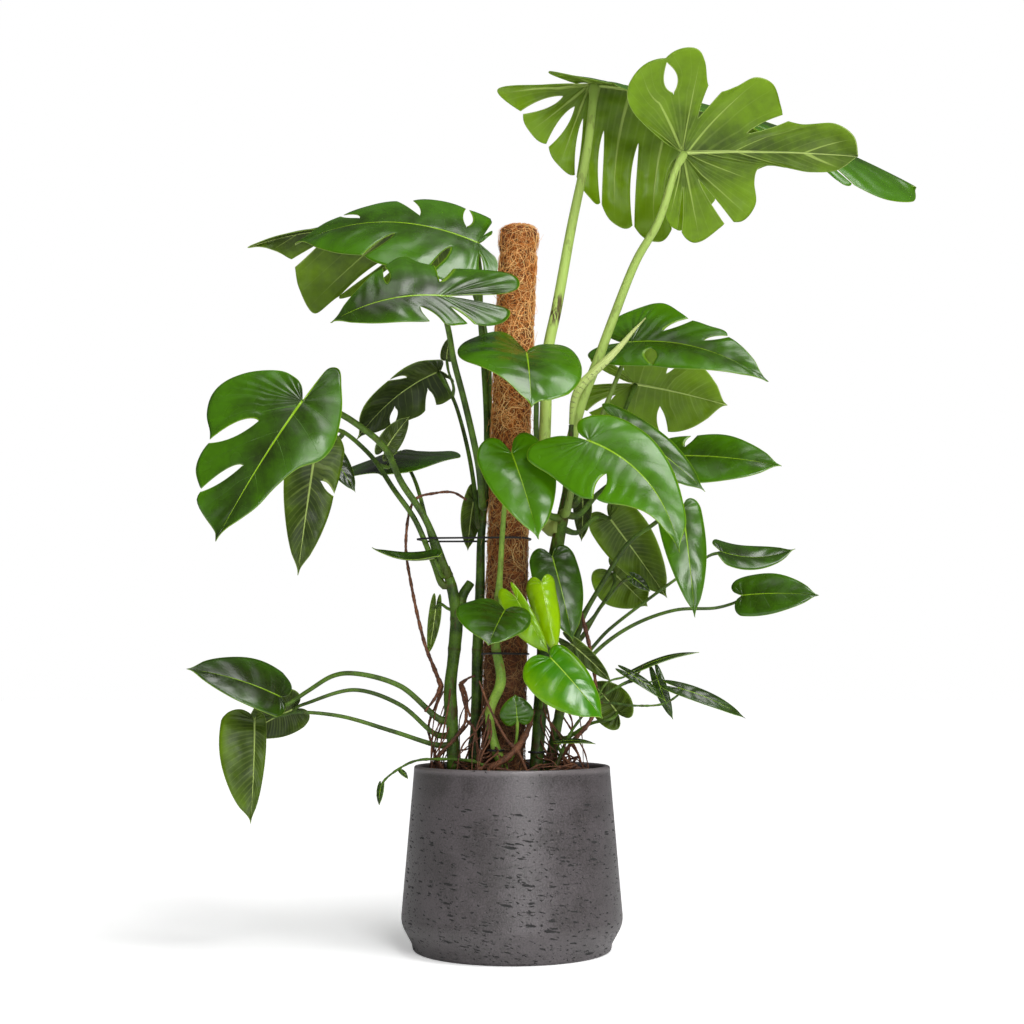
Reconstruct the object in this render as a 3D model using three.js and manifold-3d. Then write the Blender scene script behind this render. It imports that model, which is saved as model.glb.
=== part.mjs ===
// A potted swiss cheese plant (monstera) on a coir pole, in a tapered fibre-cement pot.
// Millimetres, +Z up. The origin is the middle of the pot's foot, on the floor.
//
// The plant is written down as a gardener sees it from the front. A place is [across, height, depth]:
// across and height are taken on the upright plane through the pot's middle, and depth is how far
// the point lies behind that plane (or before it, when negative). at() turns it into a real point.

import * as THREE from 'three';
import { mergeVertices } from 'three/addons/utils/BufferGeometryUtils.js';
import Module from 'manifold-3d';

const wasm = await Module();
wasm.setup();

// Driving dimensions
const VIEW_DISTANCE = 2134;
const VIEW_HEIGHT = 356;
const GAP = 0.35;
const SEAT_GAP = 0.25;
const POT_HEIGHT = 240;
const POT_FOOT_RADIUS = 131;
const POT_BELLY_RADIUS = 147;
const POT_BELLY_HEIGHT = 36;
const POT_RIM_RADIUS = 130.5;
const POT_WALL = 8;
const POT_FLOOR = 18;
const POT_SIDES = 36;
const SOIL_TOP = 228;
const SOIL_HOLE_DEPTH = 26;
const POLE_LINE = [[-14, 226], [-11, 300], [-7, 480], [-1, 720], [9.7, 972]];
const POLE_RADIUS_LOW = 29;
const POLE_RADIUS_HIGH = 26.5;
const POLE_SIDES = 12;
const STAKE_RADIUS = 11;
const STAKE_DEPTH = 120;
const STAKE_STEP = 80;
const BLADE_THICKNESS = 0.9;
const LIMB_STEP = 32;
const STALK_STEP = 42;

// A heart-shaped half blade: [along the midrib, away from it], as shares of its length and width
const HEART = [
  [0, 0], [-0.10, 0.06], [-0.24, 0.21], [-0.30, 0.46], [-0.22, 0.74], [-0.02, 0.94],
  [0.22, 1], [0.46, 0.90], [0.70, 0.63], [0.88, 0.29], [1, 0],
];
const HEART_LOBE = 0.3;
const RIB_START = 0.45;
const RIB_POWER = 1.6;
const NOTCH_START = 0.05;

const COLOURS = {
  cement: 0x5f585b,
  soil: 0x2b1d15,
  coir: 0xb06a30,
  stake: 0x8a6a48,
  tie: 0x151515,
  stem: 0x4f7a2c,
  paleStem: 0x8fb84a,
  root: 0x5a2f1e,
  blade: 0x2f6e1c,
  fresh: 0x86b41a,
  spear: 0xb9cf6a,
};

const plant = new THREE.Group();

function finish(colour, roughness = 0.6) {
  return new THREE.MeshStandardMaterial({ color: COLOURS[colour], roughness, metalness: 0 });
}

function add(name, geometry, material) {
  const mesh = new THREE.Mesh(geometry, material);
  mesh.name = name;
  plant.add(mesh);
}

function at([across, height, depth = 0]) {
  const spread = (VIEW_DISTANCE + depth) / VIEW_DISTANCE;
  return new THREE.Vector3(across * spread, depth, VIEW_HEIGHT + (height - VIEW_HEIGHT) * spread);
}

// Joins and cuts
function solid(geometry) {
  const bare = geometry.clone();
  bare.deleteAttribute('normal');
  bare.deleteAttribute('uv');
  const merged = mergeVertices(bare, 1e-4);
  return new wasm.Manifold(new wasm.Mesh({
    numProp: 3,
    vertProperties: new Float32Array(merged.attributes.position.array),
    triVerts: new Uint32Array(merged.index.array),
  }));
}

function surface(body) {
  const mesh = body.getMesh();
  const geometry = new THREE.BufferGeometry();
  geometry.setAttribute('position', new THREE.BufferAttribute(mesh.vertProperties, 3));
  geometry.setIndex(new THREE.BufferAttribute(mesh.triVerts, 1));
  return geometry;
}

function indexed(points, triangles) {
  const geometry = new THREE.BufferGeometry();
  geometry.setAttribute('position', new THREE.Float32BufferAttribute(points.flatMap((p) => p.toArray()), 3));
  geometry.setIndex(triangles);
  return geometry;
}

function join(geometries) {
  return geometries.map(solid).reduce((whole, next) => whole.add(next));
}

// A value read along a list of evenly spread stations
function along(values, share) {
  const place = share * (values.length - 1);
  const low = Math.floor(place);
  const next = values[Math.min(low + 1, values.length - 1)];
  return values[low] + (next - values[low]) * (place - low);
}

function ringCount(curve, step) {
  return Math.max(2, Math.round(curve.getLength() / step));
}

// A round stalk of changing thickness through a list of points, closed at both ends
function stalk(path, radii, sides = 6, step = 34) {
  const curve = new THREE.CatmullRomCurve3(path, false, 'centripetal');
  const steps = ringCount(curve, step);
  const frames = curve.computeFrenetFrames(steps);
  const points = [];
  for (let i = 0; i <= steps; i += 1) {
    const centre = curve.getPointAt(i / steps);
    const radius = along(radii, i / steps);
    for (let k = 0; k < sides; k += 1) {
      const turn = (2 * Math.PI * k) / sides;
      points.push(centre.clone()
        .addScaledVector(frames.normals[i], radius * Math.cos(turn))
        .addScaledVector(frames.binormals[i], radius * Math.sin(turn)));
    }
  }
  const triangles = [];
  for (let i = 0; i < steps; i += 1) {
    for (let k = 0; k < sides; k += 1) {
      const a = i * sides + k;
      const b = i * sides + ((k + 1) % sides);
      triangles.push(a, b, b + sides, a, b + sides, a + sides);
    }
  }
  for (let k = 1; k < sides - 1; k += 1) {
    triangles.push(0, k + 1, k);
    triangles.push(steps * sides, steps * sides + k, steps * sides + k + 1);
  }
  return indexed(points, triangles);
}

// A smooth line through a blade's outline points, evenly numbered from 0 to 1
function spline(points, share) {
  const place = Math.min(share, 0.999999) * (points.length - 1);
  const i = Math.floor(place);
  const f = place - i;
  const pick = (k) => points[Math.max(0, Math.min(points.length - 1, k))];
  return [0, 1].map((axis) => {
    const [a, b, c, d] = [pick(i - 1)[axis], pick(i)[axis], pick(i + 1)[axis], pick(i + 2)[axis]];
    return b + 0.5 * f * (c - a + f * (2 * a - 5 * b + 4 * c - d + f * (3 * (b - c) + d - a)));
  });
}

// One half of a blade, drawn flat. margin runs from the notch at the stalk (0) to the tip (1).
// Ribs leave the midrib and bend forward to the margin, and slits follow the ribs.
function margin(half, m) {
  const [s, t] = spline(half.outline || HEART, m);
  const back = s < 0 ? (half.lobe ?? HEART_LOBE) / HEART_LOBE : 1;
  const slim = 1 - (half.taper || 0) * Math.max(0, s) ** 0.7;
  return new THREE.Vector2(s * back * half.length, Math.max(0, t) * slim * half.width);
}

function rib(half, m, q) {
  const spread = Math.max(0, (m - RIB_START) / (1 - RIB_START)) ** (half.ribs || RIB_POWER);
  const foot = new THREE.Vector2(half.length * spread, 0);
  const end = margin(half, m);
  const turn = Math.cos(Math.PI * Math.min(1, m / 0.8)) * Math.min(1, m / 0.3);
  const bend = 0.12 * turn * foot.distanceTo(end);
  const knee = foot.clone().add(end).multiplyScalar(0.5).add(new THREE.Vector2(bend, 0));
  return foot.multiplyScalar((1 - q) ** 2)
    .addScaledVector(knee, 2 * q * (1 - q))
    .addScaledVector(end, q * q);
}

// A slit is a drop-shaped opening that narrows to its mouth at the margin, or a closed hole
function slitHalfWidth([, inner, outer, width, mouth = 0.3], q) {
  if (q <= inner || q >= outer + 0.01) return 0;
  const share = (q - inner) / (outer - inner);
  const drop = Math.sin(Math.PI * Math.min(1, share ** 0.75));
  return outer < 1 ? width * drop : width * ((1 - mouth) * drop + mouth * share);
}

// The side step from a slit's rib to its edge, towards growing m
function slitStep(half, slit, q) {
  const open = slitHalfWidth(slit, q);
  const across = rib(half, slit[0] + 0.01, q).sub(rib(half, slit[0] - 0.01, q));
  return across.lengthSq() ? across.setLength(open) : across;
}

// Flat points of one half: columns across its fingers and rows along the ribs
function fingers(half, slits, rows, cell) {
  const bounds = [null, ...slits, null];
  const list = [];
  for (let i = 0; i + 1 < bounds.length; i += 1) {
    const from = bounds[i] ? bounds[i][0] : NOTCH_START;
    const to = bounds[i + 1] ? bounds[i + 1][0] : 1;
    const cells = Math.max(slits.length ? 2 : 1, Math.round((to - from) / cell));
    const columns = [];
    for (let c = 0; c <= cells; c += 1) {
      const g = c / cells;
      const m = from + (to - from) * g;
      columns.push(rows.map((row) => {
        const corner = slits.length && ((g < 0.5 && bounds[i]) || (g > 0.5 && bounds[i + 1]));
        const q = row === 1 && corner ? 1 - 0.07 * Math.abs(2 * g - 1) ** 3 : row;
        const point = rib(half, m, q);
        const room = 0.4 * rib(half, from, q).distanceTo(rib(half, to, q));
        const step = (slit) => slitStep(half, slit, q).clampLength(0, room);
        if (bounds[i]) point.addScaledVector(step(bounds[i]), Math.max(0, 1 - 2 * g));
        if (bounds[i + 1]) point.addScaledVector(step(bounds[i + 1]), Math.min(0, 1 - 2 * g));
        return point;
      }));
    }
    list.push(columns);
  }
  return list;
}

// The signed area of a triangle between three of four flat corners, picked by their numbers
function area(a, b, c, d, ...picked) {
  const [p, q, r] = picked.map((k) => [a, b, c, d][k]);
  return q.clone().sub(p).cross(r.clone().sub(p)) / 2;
}

// A whole blade: flat halves are bent about an arched midrib and given a thickness
class Blade {
  constructor(leaf) {
    this.base = at(leaf.base);
    this.tip = at(leaf.tip);
    this.chord = this.tip.clone().sub(this.base);
    this.length = this.chord.length();
    this.forward = this.chord.clone().normalize();
    const face = new THREE.Vector3(...leaf.face);
    this.normal = face.addScaledVector(this.forward, -face.dot(this.forward)).normalize();
    this.left = this.normal.clone().cross(this.forward);
    this.arch = leaf.arch ?? 0.06;
    this.sway = leaf.sway ?? 0;
    this.leaf = leaf;
  }

  spine(u) {
    const rise = (v) => (v < 0 ? 4 * v : 4 * v * (1 - v));
    return this.base.clone()
      .addScaledVector(this.chord, u)
      .addScaledVector(this.normal, this.arch * this.length * rise(u))
      .addScaledVector(this.left, this.sway * this.length * rise(u));
  }

  place(point, side) {
    const u = point.x / this.length;
    const ahead = this.spine(u + 0.01).sub(this.spine(u)).normalize();
    const up = this.normal.clone().addScaledVector(ahead, -this.normal.dot(ahead)).normalize();
    const out = up.clone().cross(ahead).multiplyScalar(side);
    const [, width, fold = 0, curl = 0, { twist = 0 } = {}] = this.half(side);
    const start = THREE.MathUtils.degToRad(fold + twist * Math.max(0, Math.min(1, u)));
    const turn = THREE.MathUtils.degToRad(curl || 0.01);
    const reach = width / turn;
    const end = start + (turn * point.y) / width;
    return this.spine(u)
      .addScaledVector(out, reach * (Math.sin(end) - Math.sin(start)))
      .addScaledVector(up, reach * (Math.cos(start) - Math.cos(end)));
  }

  half(side) {
    return ['', ...(side > 0 ? this.leaf.left : this.leaf.right)];
  }

  geometry() {
    const { leaf } = this;
    const rows = leaf.rows || [0, 0.5, 1];
    const flat = [];
    const index = new Map();
    const triangles = [];
    const number = (point, side) => {
      const key = `${Math.round(point.x * 20)},${Math.round(point.y * 20 * side)}`;
      if (!index.has(key)) {
        index.set(key, flat.length);
        flat.push([point, side]);
      }
      return index.get(key);
    };
    const joined = ([m, inner, ...rest]) => [m, Math.max(inner, rows[1]), ...rest];
    const sides = [[1, leaf.leftSlits || [], leaf.left], [-1, leaf.rightSlits || [], leaf.right]]
      .map(([side, slits, half]) => [side, slits.map(joined), half]);
    const grids = sides.map(([side, slits, [width, , , options = {}]]) => ({
      side,
      grid: fingers({ length: this.length, width, ...options }, slits, rows, leaf.cell || 0.17),
    }));
    const feet = grids.flatMap(({ grid }) => grid.flatMap((finger) => finger.map((column) => column[0].x)));
    const stations = [...new Set(feet.map((x) => Math.round(x * 20) / 20))].sort((a, b) => a - b);
    const face = (side, ...corners) => {
      const [a, b, c] = side > 0 ? corners : [corners[0], corners[2], corners[1]];
      if (a !== b && b !== c && a !== c) triangles.push([a, b, c]);
    };
    for (const { side, grid } of grids) {
      for (const finger of grid) {
        for (let c = 0; c + 1 < finger.length; c += 1) {
          const [near, far] = [finger[c], finger[c + 1]];
          const between = stations.filter((x) => x > near[0].x + 0.06 && x < far[0].x - 0.06);
          const low = [near[0], ...between.map((x) => new THREE.Vector2(x, 0)), far[0]]
            .map((point) => number(point, side));
          const first = number(near[1], side);
          for (let k = 0; k + 1 < low.length; k += 1) face(side, first, low[k], low[k + 1]);
          face(side, first, low.at(-1), number(far[1], side));
          for (let r = 1; r + 1 < rows.length; r += 1) {
            const corners = [near[r], far[r], far[r + 1], near[r + 1]];
            const [a, b, c, d] = corners.map((point) => number(point, side));
            if (Math.min(area(...corners, 0, 1, 2), area(...corners, 0, 2, 3))
              > Math.min(area(...corners, 1, 2, 3), area(...corners, 1, 3, 0))) {
              face(side, a, b, c);
              face(side, a, c, d);
            } else {
              face(side, b, c, d);
              face(side, b, d, a);
            }
          }
        }
      }
    }
    const points = flat.map(([point, side]) => this.place(point, side));
    return thicken(points, triangles, leaf.thickness || BLADE_THICKNESS);
  }

  // Where the stalk stops under the blade, clear of it
  seat(radius, from) {
    const up = this.place(new THREE.Vector2(0.5, 0), 1);
    const ahead = this.spine(0.01).sub(this.spine(0)).normalize();
    const under = this.normal.clone().addScaledVector(ahead, -this.normal.dot(ahead)).normalize();
    const direction = this.base.clone().sub(from).normalize();
    const slope = Math.abs(direction.dot(under));
    const folds = [1, -1].map((side) => Math.max(0, -(this.half(side)[2] || 0)));
    const droop = Math.tan(THREE.MathUtils.degToRad(Math.max(...folds)));
    const clearance = BLADE_THICKNESS / 2 + SEAT_GAP + (this.leaf.clear || 0);
    const drop = clearance + radius * (Math.sqrt(1 - slope * slope) + droop * slope);
    return up.addScaledVector(under, -drop);
  }
}

// A sheet of triangles given a thickness, with the same triangles on both faces
function thicken(points, triangles, thickness) {
  const normals = points.map(() => new THREE.Vector3());
  for (const [a, b, c] of triangles) {
    const area = points[b].clone().sub(points[a]).cross(points[c].clone().sub(points[a]));
    for (const k of [a, b, c]) normals[k].add(area);
  }
  const count = points.length;
  const shift = (sign) => points.map((p, k) => p.clone()
    .addScaledVector(normals[k].clone().normalize(), (sign * thickness) / 2));
  const edges = new Map();
  for (const [a, b, c] of triangles) {
    for (const [from, to] of [[a, b], [b, c], [c, a]]) edges.set(`${from},${to}`, [from, to]);
  }
  const list = triangles.flatMap(([a, b, c]) => [a, b, c, a + count, c + count, b + count]);
  for (const [from, to] of edges.values()) {
    if (!edges.has(`${to},${from}`)) {
      list.push(to, from, from + count, to, from + count, to + count);
    }
  }
  return indexed([...shift(1), ...shift(-1)], list);
}

// Rows along the ribs of large and middling blades
const LARGE = [0, 0.32, 0.55, 0.78, 1];
const MIDDLE = [0, 0.4, 0.7, 1];

// Leaves. left and right are the half blades to each side of the midrib, seen from the upper face:
// [width, fold at the midrib, curl to the margin, outline]. A twist is a fold that grows to the tip.
// Slits are [place on the margin, inner end, outer end, half width]. stalk is the leaf stalk's path
// from the blade to its stem.
const LEAVES = [
  {
    name: 'crown_leaf_rear', on: 'right_stem', base: [110, 1183, 170], tip: [562, 1034, 210],
    face: [0.05, 0.42, 0.9], arch: 0.07, rows: LARGE,
    left: [240, -38, -45, { outline: [[0, 0], [-0.13, 0.04], [-0.26, 0.1], [-0.18, 0.28], [-0.08, 0.5], [0.02, 0.71],
      [0.13, 0.87], [0.29, 0.95], [0.42, 0.68], [0.6, 0.22], [1, 0]] }],
    right: [200, -38, -18, { twist: -34, outline: [[0, 0], [-0.07, 0.08], [-0.14, 0.26], [-0.12, 0.5], [0.02, 0.76],
      [0.15, 0.84], [0.28, 0.62], [0.43, 0.44], [0.6, 0.6], [0.7, 0.48], [0.81, 0.56], [0.93, 0.48],
      [1.01, 0.24], [1, 0]] }],
    leftSlits: [[0.28, 0.4, 1, 9], [0.37, 0.35, 1, 9], [0.46, 0.35, 1, 6], [0.55, 0.35, 1, 6],
      [0.64, 0.35, 1, 6], [0.73, 0.35, 1, 9], [0.82, 0.35, 1, 9]],
    rightSlits: [[0.3, 0.45, 1, 7], [0.45, 0.4, 1, 8], [0.57, 0.4, 1, 12, 0.8], [0.69, 0.4, 1, 10, 0.8],
      [0.8, 0.4, 1, 8]],
    stalk: [[105, 1090, 140], [82, 975, 105], [62, 865, 72], [49, 800, 56], [46, 720, 40], [44, 640, 22],
      [50, 560, 10]],
    thick: [6, 9], clear: 0.7,
  },
  {
    name: 'crown_leaf_front', on: 'right_stem', base: [237, 1083, -110], tip: [482, 1078, -100],
    face: [-0.05, 0.8, 0.6], arch: 0.05, rows: LARGE, cell: 0.09,
    left: [128, 4, -10, { ribs: 3.4, outline: [[0, 0], [-0.06, 0.12], [-0.09, 0.35], [-0.07, 0.65], [0, 0.87],
      [0.08, 0.97], [0.16, 0.98], [0.28, 0.86], [0.39, 0.8], [0.45, 0.58], [0.43, 0.34], [0.45, 0.19], [0.53, 0.15],
      [0.64, 0.17], [0.76, 0.2], [0.9, 0.17], [1, 0]] }],
    right: [143, -4, -6, { ribs: 3.4, outline: [[0, 0], [-0.12, 0.13], [-0.3, 0.4], [-0.35, 0.62], [-0.28, 0.86],
      [-0.15, 1], [-0.01, 1.01], [0.07, 0.88], [0.14, 0.68], [0.24, 0.66], [0.36, 0.72], [0.48, 0.64], [0.57, 0.42],
      [0.66, 0.3], [0.84, 0.31], [0.96, 0.2], [1, 0]] }],
    leftSlits: [[0.27, 0.4, 1, 5, 0.8], [0.47, 0.35, 1, 8, 0.8]],
    rightSlits: [[0.3, 0.6, 0.94, 9], [0.51, 0.5, 1, 12, 0.9], [0.78, 0.5, 1, 10, 0.6]],
    stalk: [[228, 1060, -118], [203, 985, -108], [172, 930, -84], [140, 850, -52], [118, 790, -36], [95, 730, -24],
      [82, 680, -12], [76, 630, -6]],
    thick: [4.5, 8],
  },
  {
    name: 'upper_left_leaf', on: 'climbing_stem', base: [-48, 955, -38], tip: [-300, 952, 10],
    face: [0, -0.6, 0.8], arch: 0.12, rows: LARGE,
    left: [105, -5, -20, { lobe: 0.14 }], right: [86, 12, -18, { lobe: 0.04 }],
    leftSlits: [[0.4, 0.3, 1, 5], [0.58, 0.3, 1, 6], [0.74, 0.35, 1, 6]],
    rightSlits: [[0.4, 0.35, 1, 14, 0.8], [0.56, 0.3, 1, 8], [0.7, 0.3, 1, 14, 0.8], [0.84, 0.4, 1, 8]],
    stalk: [[-45, 915, -24], [-44, 865, 4], [-38, 780, 20], [-34, 700, 20], [-35, 620, 18]],
    thick: [4, 5],
  },
  {
    name: 'upper_left_leaf_rear', on: 'climbing_stem', base: [-105, 965, 160], tip: [-366, 948, 150],
    face: [-0.1, 0.62, 0.78], arch: 0.12, rows: MIDDLE,
    left: [68, -42, -20, { lobe: 0.1 }],
    right: [121, -22, -16, { ribs: 2.2, outline: [[0, 0], [-0.08, 0.12], [-0.06, 0.48], [0.08, 0.68], [0.26, 0.8],
      [0.44, 0.84], [0.6, 0.9], [0.74, 1], [0.8, 0.62], [0.84, 0.22], [1, 0]] }],
    leftSlits: [[0.55, 0.35, 1, 8], [0.75, 0.4, 1, 7]],
    rightSlits: [[0.36, 0.3, 1, 9], [0.48, 0.3, 1, 9, 0.8], [0.6, 0.35, 0.97, 8], [0.86, 0.4, 1, 7, 0.9]],
    stalk: [[-78, 940, 140], [-50, 880, 105], [-34, 800, 75], [-32, 700, 58], [-34, 620, 30]],
    thick: [4, 5],
  },
  {
    name: 'second_left_leaf', on: 'climbing_stem', base: [-97, 880, -150], tip: [-250, 842, -160],
    face: [-0.1, -0.78, 0.62], arch: 0.1, rows: MIDDLE,
    left: [72, -8, -15, { outline: [[0, 0], [-0.2, 0.04], [-0.42, 0.1], [-0.56, 0.26], [-0.5, 0.5], [-0.34, 0.64],
      [-0.14, 0.66], [0.04, 0.7], [0.3, 0.6], [0.66, 0.42], [1, 0]] }],
    right: [101, 8, -20, { outline: [[0, 0], [-0.2, 0.03], [-0.5, 0.12], [-0.72, 0.32], [-0.68, 0.58], [-0.36, 0.66],
      [0.02, 0.74], [0.2, 0.94], [0.42, 0.72], [0.66, 0.36], [1, 0]] }],
    leftSlits: [[0.56, 0.4, 1, 6, 0.7], [0.72, 0.4, 1, 13, 0.7]],
    rightSlits: [[0.56, 0.4, 1, 13, 0.9], [0.8, 0.4, 1, 6]],
    stalk: [[-87, 830, -120], [-80, 790, -86], [-67, 740, -62], [-55, 690, -54], [-45, 640, -30], [-40, 590, -4]],
    thick: [3.6, 5],
  },
  {
    name: 'big_left_leaf', on: 'left_stem', base: [-287, 733, -170], tip: [-402, 540, -200],
    face: [0.1, -0.93, 0.35], arch: 0.06, rows: LARGE, cell: 0.13,
    left: [66, 14, -30, { outline: [[0, 0], [-0.14, 0], [-0.27, 0.03], [-0.29, 0.26], [-0.19, 0.5], [-0.05, 0.78],
      [0.14, 1], [0.28, 0.96], [0.4, 0.68], [0.56, 0.5], [0.72, 0.38], [0.88, 0.14], [1, 0]] }],
    right: [101, -4, -18, { outline: [[0, 0], [-0.08, 0.11], [-0.12, 0.26], [-0.13, 0.52], [-0.06, 0.86], [0.05, 1.06],
      [0.19, 1.13], [0.34, 1.05], [0.46, 0.88], [0.57, 0.8], [0.68, 0.71], [0.77, 0.56], [0.85, 0.5], [0.92, 0.33],
      [0.96, 0.15], [1, 0]] }],
    rightSlits: [[0.57, 0.4, 1, 14, 0.2], [0.77, 0.35, 1, 11, 0.2]],
    stalk: [[-262, 728, -140], [-238, 717, -118], [-215, 703, -102], [-175, 670, -72], [-150, 620, -24],
      [-120, 575, -16], [-100, 530, -10], [-88, 495, -4]],
    thick: [4, 5],
  },
  {
    name: 'hanging_left_leaf', on: 'left_stem', base: [-268, 668, 50], tip: [-290, 494, 40],
    face: [0.1, -0.97, 0.2], arch: 0.05, rows: MIDDLE,
    left: [43, 5, -20, { lobe: 0.15, taper: 0.2 }], right: [41, 5, -20, { lobe: 0.15, taper: 0.2 }],
    leftSlits: [[0.66, 0.3, 1, 6]],
    stalk: [[-250, 690, 68], [-235, 692, 62], [-195, 660, 48], [-160, 610, 2], [-132, 570, 0], [-108, 515, 0],
      [-92, 480, 0]],
    thick: [3, 4],
  },
  {
    name: 'hanging_left_small', on: 'left_stem', joins: 'hanging_left_leaf',
    base: [-250, 665, 62], tip: [-213, 607, 58],
    face: [0.2, -0.95, 0.2], rows: [0, 1],
    left: [17, 0, -10, { lobe: 0.05 }], right: [17, 0, -10, { lobe: 0.05 }],
    stalk: [[-246, 671, 77], [-232, 686, 68]], thick: [2.2, 2.6],
  },
  {
    name: 'dark_left_leaf', on: 'climbing_stem', base: [-100, 775, 80], tip: [-212, 680, 110],
    face: [-0.5, 0.55, 0.65], arch: 0.1, rows: MIDDLE,
    left: [74, -10, -25, { lobe: 0.12 }], right: [46, -25, -30, { lobe: 0.06 }],
    leftSlits: [[0.66, 0.35, 1, 7]],
    rightSlits: [[0.42, 0.25, 1, 12, 0.8], [0.62, 0.25, 1, 13, 0.8], [0.8, 0.35, 1, 8]],
    stalk: [[-92, 757, 74], [-80, 735, 66], [-70, 705, 54], [-58, 655, 34], [-50, 605, 18], [-44, 560, 16]],
    thick: [2.4, 3.4],
  },
  {
    name: 'small_grey_leaf', on: 'climbing_stem', joins: 'dark_left_leaf',
    base: [-90, 790, 26], tip: [-86, 823, 30],
    face: [-0.3, 0.9, 0], rows: [0, 1], left: [10, 0, -20, { lobe: 0.05 }], right: [10, 0, -20, { lobe: 0.05 }],
    stalk: [[-87, 774, 18], [-80, 752, 44]], thick: [1.6, 2], clear: 0.4,
  },
  {
    name: 'level_left_leaf', on: 'left_stem', base: [-152, 664, 190], tip: [-178, 630, 90],
    face: [0, -0.12, 1], arch: 0.06, rows: MIDDLE,
    left: [95, -6, 6, { lobe: 0.3 }], right: [104, -14, -10, { lobe: 0.3 }],
    stalk: [[-140, 640, 160], [-126, 605, 62], [-113, 555, 34], [-98, 505, 12]],
    thick: [2.4, 3.2],
  },
  {
    name: 'upright_grey_leaf', on: 'left_stem', joins: 'hanging_left_leaf',
    base: [-172, 668, 54], tip: [-140, 712, 58],
    face: [-0.5, 0.85, 0], left: [16, 0, -15], right: [18, 0, -15],
    stalk: [[-167, 652, 46], [-166, 642, 45]], thick: [1.8, 2.2],
  },
  {
    name: 'front_heart_leaf', on: 'right_stem', base: [20, 800, -130], tip: [27, 724, -206],
    face: [0, -0.55, 0.84], arch: 0.1, rows: MIDDLE, cell: 0.14,
    left: [70, 8, -30, { outline: [[0, 0], [-0.14, 0.1], [-0.34, 0.34], [-0.38, 0.62], [-0.24, 0.84], [0.04, 0.98],
      [0.34, 1], [0.66, 0.88], [0.9, 0.56], [0.92, 0.26], [1, 0]] }],
    right: [92, 14, -32, { outline: [[0, 0], [-0.24, 0.06], [-0.54, 0.16], [-0.78, 0.36], [-0.74, 0.62], [-0.5, 0.84],
      [-0.16, 0.97], [0.12, 0.92], [0.4, 0.68], [0.7, 0.32], [1, 0]] }],
    stalk: [[28, 770, -116], [33, 735, -92], [33, 695, -72], [36, 640, -54], [46, 580, -26]],
    thick: [3.2, 4.2],
  },
  {
    name: 'bright_heart_leaf', on: 'front_stem', base: [0, 660, -150], tip: [36, 543, -190],
    face: [0.1, -0.95, 0.3], arch: 0.06, rows: MIDDLE, cell: 0.14,
    left: [46, 16, -30, { lobe: 0.22 }], right: [49, 16, -30, { lobe: 0.24, taper: 0.2 }],
    stalk: [[-6, 625, -92], [-10, 590, -74], [-13, 550, -62], [-16, 500, -54], [-19, 460, -49]],
    thick: [2.6, 4],
  },
  {
    name: 'large_front_leaf', on: 'right_stem', base: [105, 678, -190], tip: [227, 525, -250],
    face: [0.1, -0.95, 0.3], arch: 0.07, sway: 0.11, rows: LARGE,
    left: [54, 4, -20, { outline: [[0, 0], [-0.1, 0.15], [-0.13, 0.45], [-0.05, 0.8], [0.06, 1], [0.18, 0.97],
      [0.32, 0.87], [0.5, 0.7], [0.7, 0.47], [0.87, 0.28], [1, 0]] }],
    right: [74, 4, -25, { outline: [[0, 0], [-0.17, 0.1], [-0.29, 0.48], [-0.27, 0.75], [-0.1, 0.85], [0.08, 0.97],
      [0.27, 1], [0.42, 0.85], [0.58, 0.55], [0.75, 0.25], [1, 0]] }],
    rightSlits: [[0.66, 0.45, 1, 9]],
    stalk: [[98, 655, -156], [88, 630, -70], [80, 605, -40], [74, 580, -16]],
    thick: [3.4, 5],
  },
  {
    name: 'behind_front_leaf', on: 'right_stem', base: [150, 700, -90], tip: [263, 608, -120],
    face: [0.1, -0.95, 0.3], left: [26, 4, -20], right: [33, 4, -20],
    stalk: [[132, 678, -76], [108, 645, -52], [88, 610, -14]], thick: [2.6, 3.4],
  },
  {
    name: 'right_leaf', on: 'right_stem', base: [222, 657, 0], tip: [368, 643, -60],
    face: [0, -0.86, 0.5], arch: 0.05, sway: -0.005, rows: MIDDLE,
    left: [46, 4, -20, { lobe: 0.2 }], right: [46, 4, -20, { lobe: 0.2 }],
    leftSlits: [[0.55, 0.3, 1, 8, 0.6]],
    stalk: [[200, 648, 10], [160, 635, 28], [118, 606, 22], [88, 575, 8]],
    thick: [2.8, 4],
  },
  {
    name: 'upper_right_leaf', on: 'right_stem', base: [165, 815, 4], tip: [352, 760, -70],
    face: [-0.1, -0.78, 0.6], arch: 0.08, sway: 0.04, rows: MIDDLE,
    left: [86, 4, -10, { outline: [[0, 0], [-0.12, 0.08], [-0.22, 0.28], [-0.19, 0.7], [-0.06, 0.97], [0.08, 1],
      [0.25, 0.76], [0.42, 0.58], [0.57, 0.54], [0.68, 0.38], [0.85, 0.18], [1, 0]] }],
    right: [62, 26, -44, { lobe: 0.26 }],
    leftSlits: [[0.59, 0.4, 1, 8, 0.5], [0.77, 0.4, 1, 5]],
    rightSlits: [[0.62, 0.4, 0.97, 9]],
    stalk: [[156, 794, 12], [146, 770, 10], [136, 745, 4], [118, 700, -6], [98, 650, -10], [84, 615, -6]],
    thick: [3, 4],
  },
  {
    name: 'grey_right_leaf', on: 'right_stem', base: [168, 757, 110], tip: [295, 727, 130],
    face: [-0.05, 0.85, 0.5], arch: 0.05, rows: MIDDLE,
    left: [74, -6, -10, { lobe: 0.62 }], right: [68, -6, -10, { lobe: 0.5 }],
    leftSlits: [[0.4, 0.35, 1, 6], [0.7, 0.3, 1, 10, 0.6]],
    rightSlits: [[0.38, 0.2, 1, 16, 0.9], [0.68, 0.35, 1, 7, 0.5]],
    stalk: [[160, 735, 104], [148, 705, 88], [124, 660, 62], [98, 615, 22], [84, 590, 8]],
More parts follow.
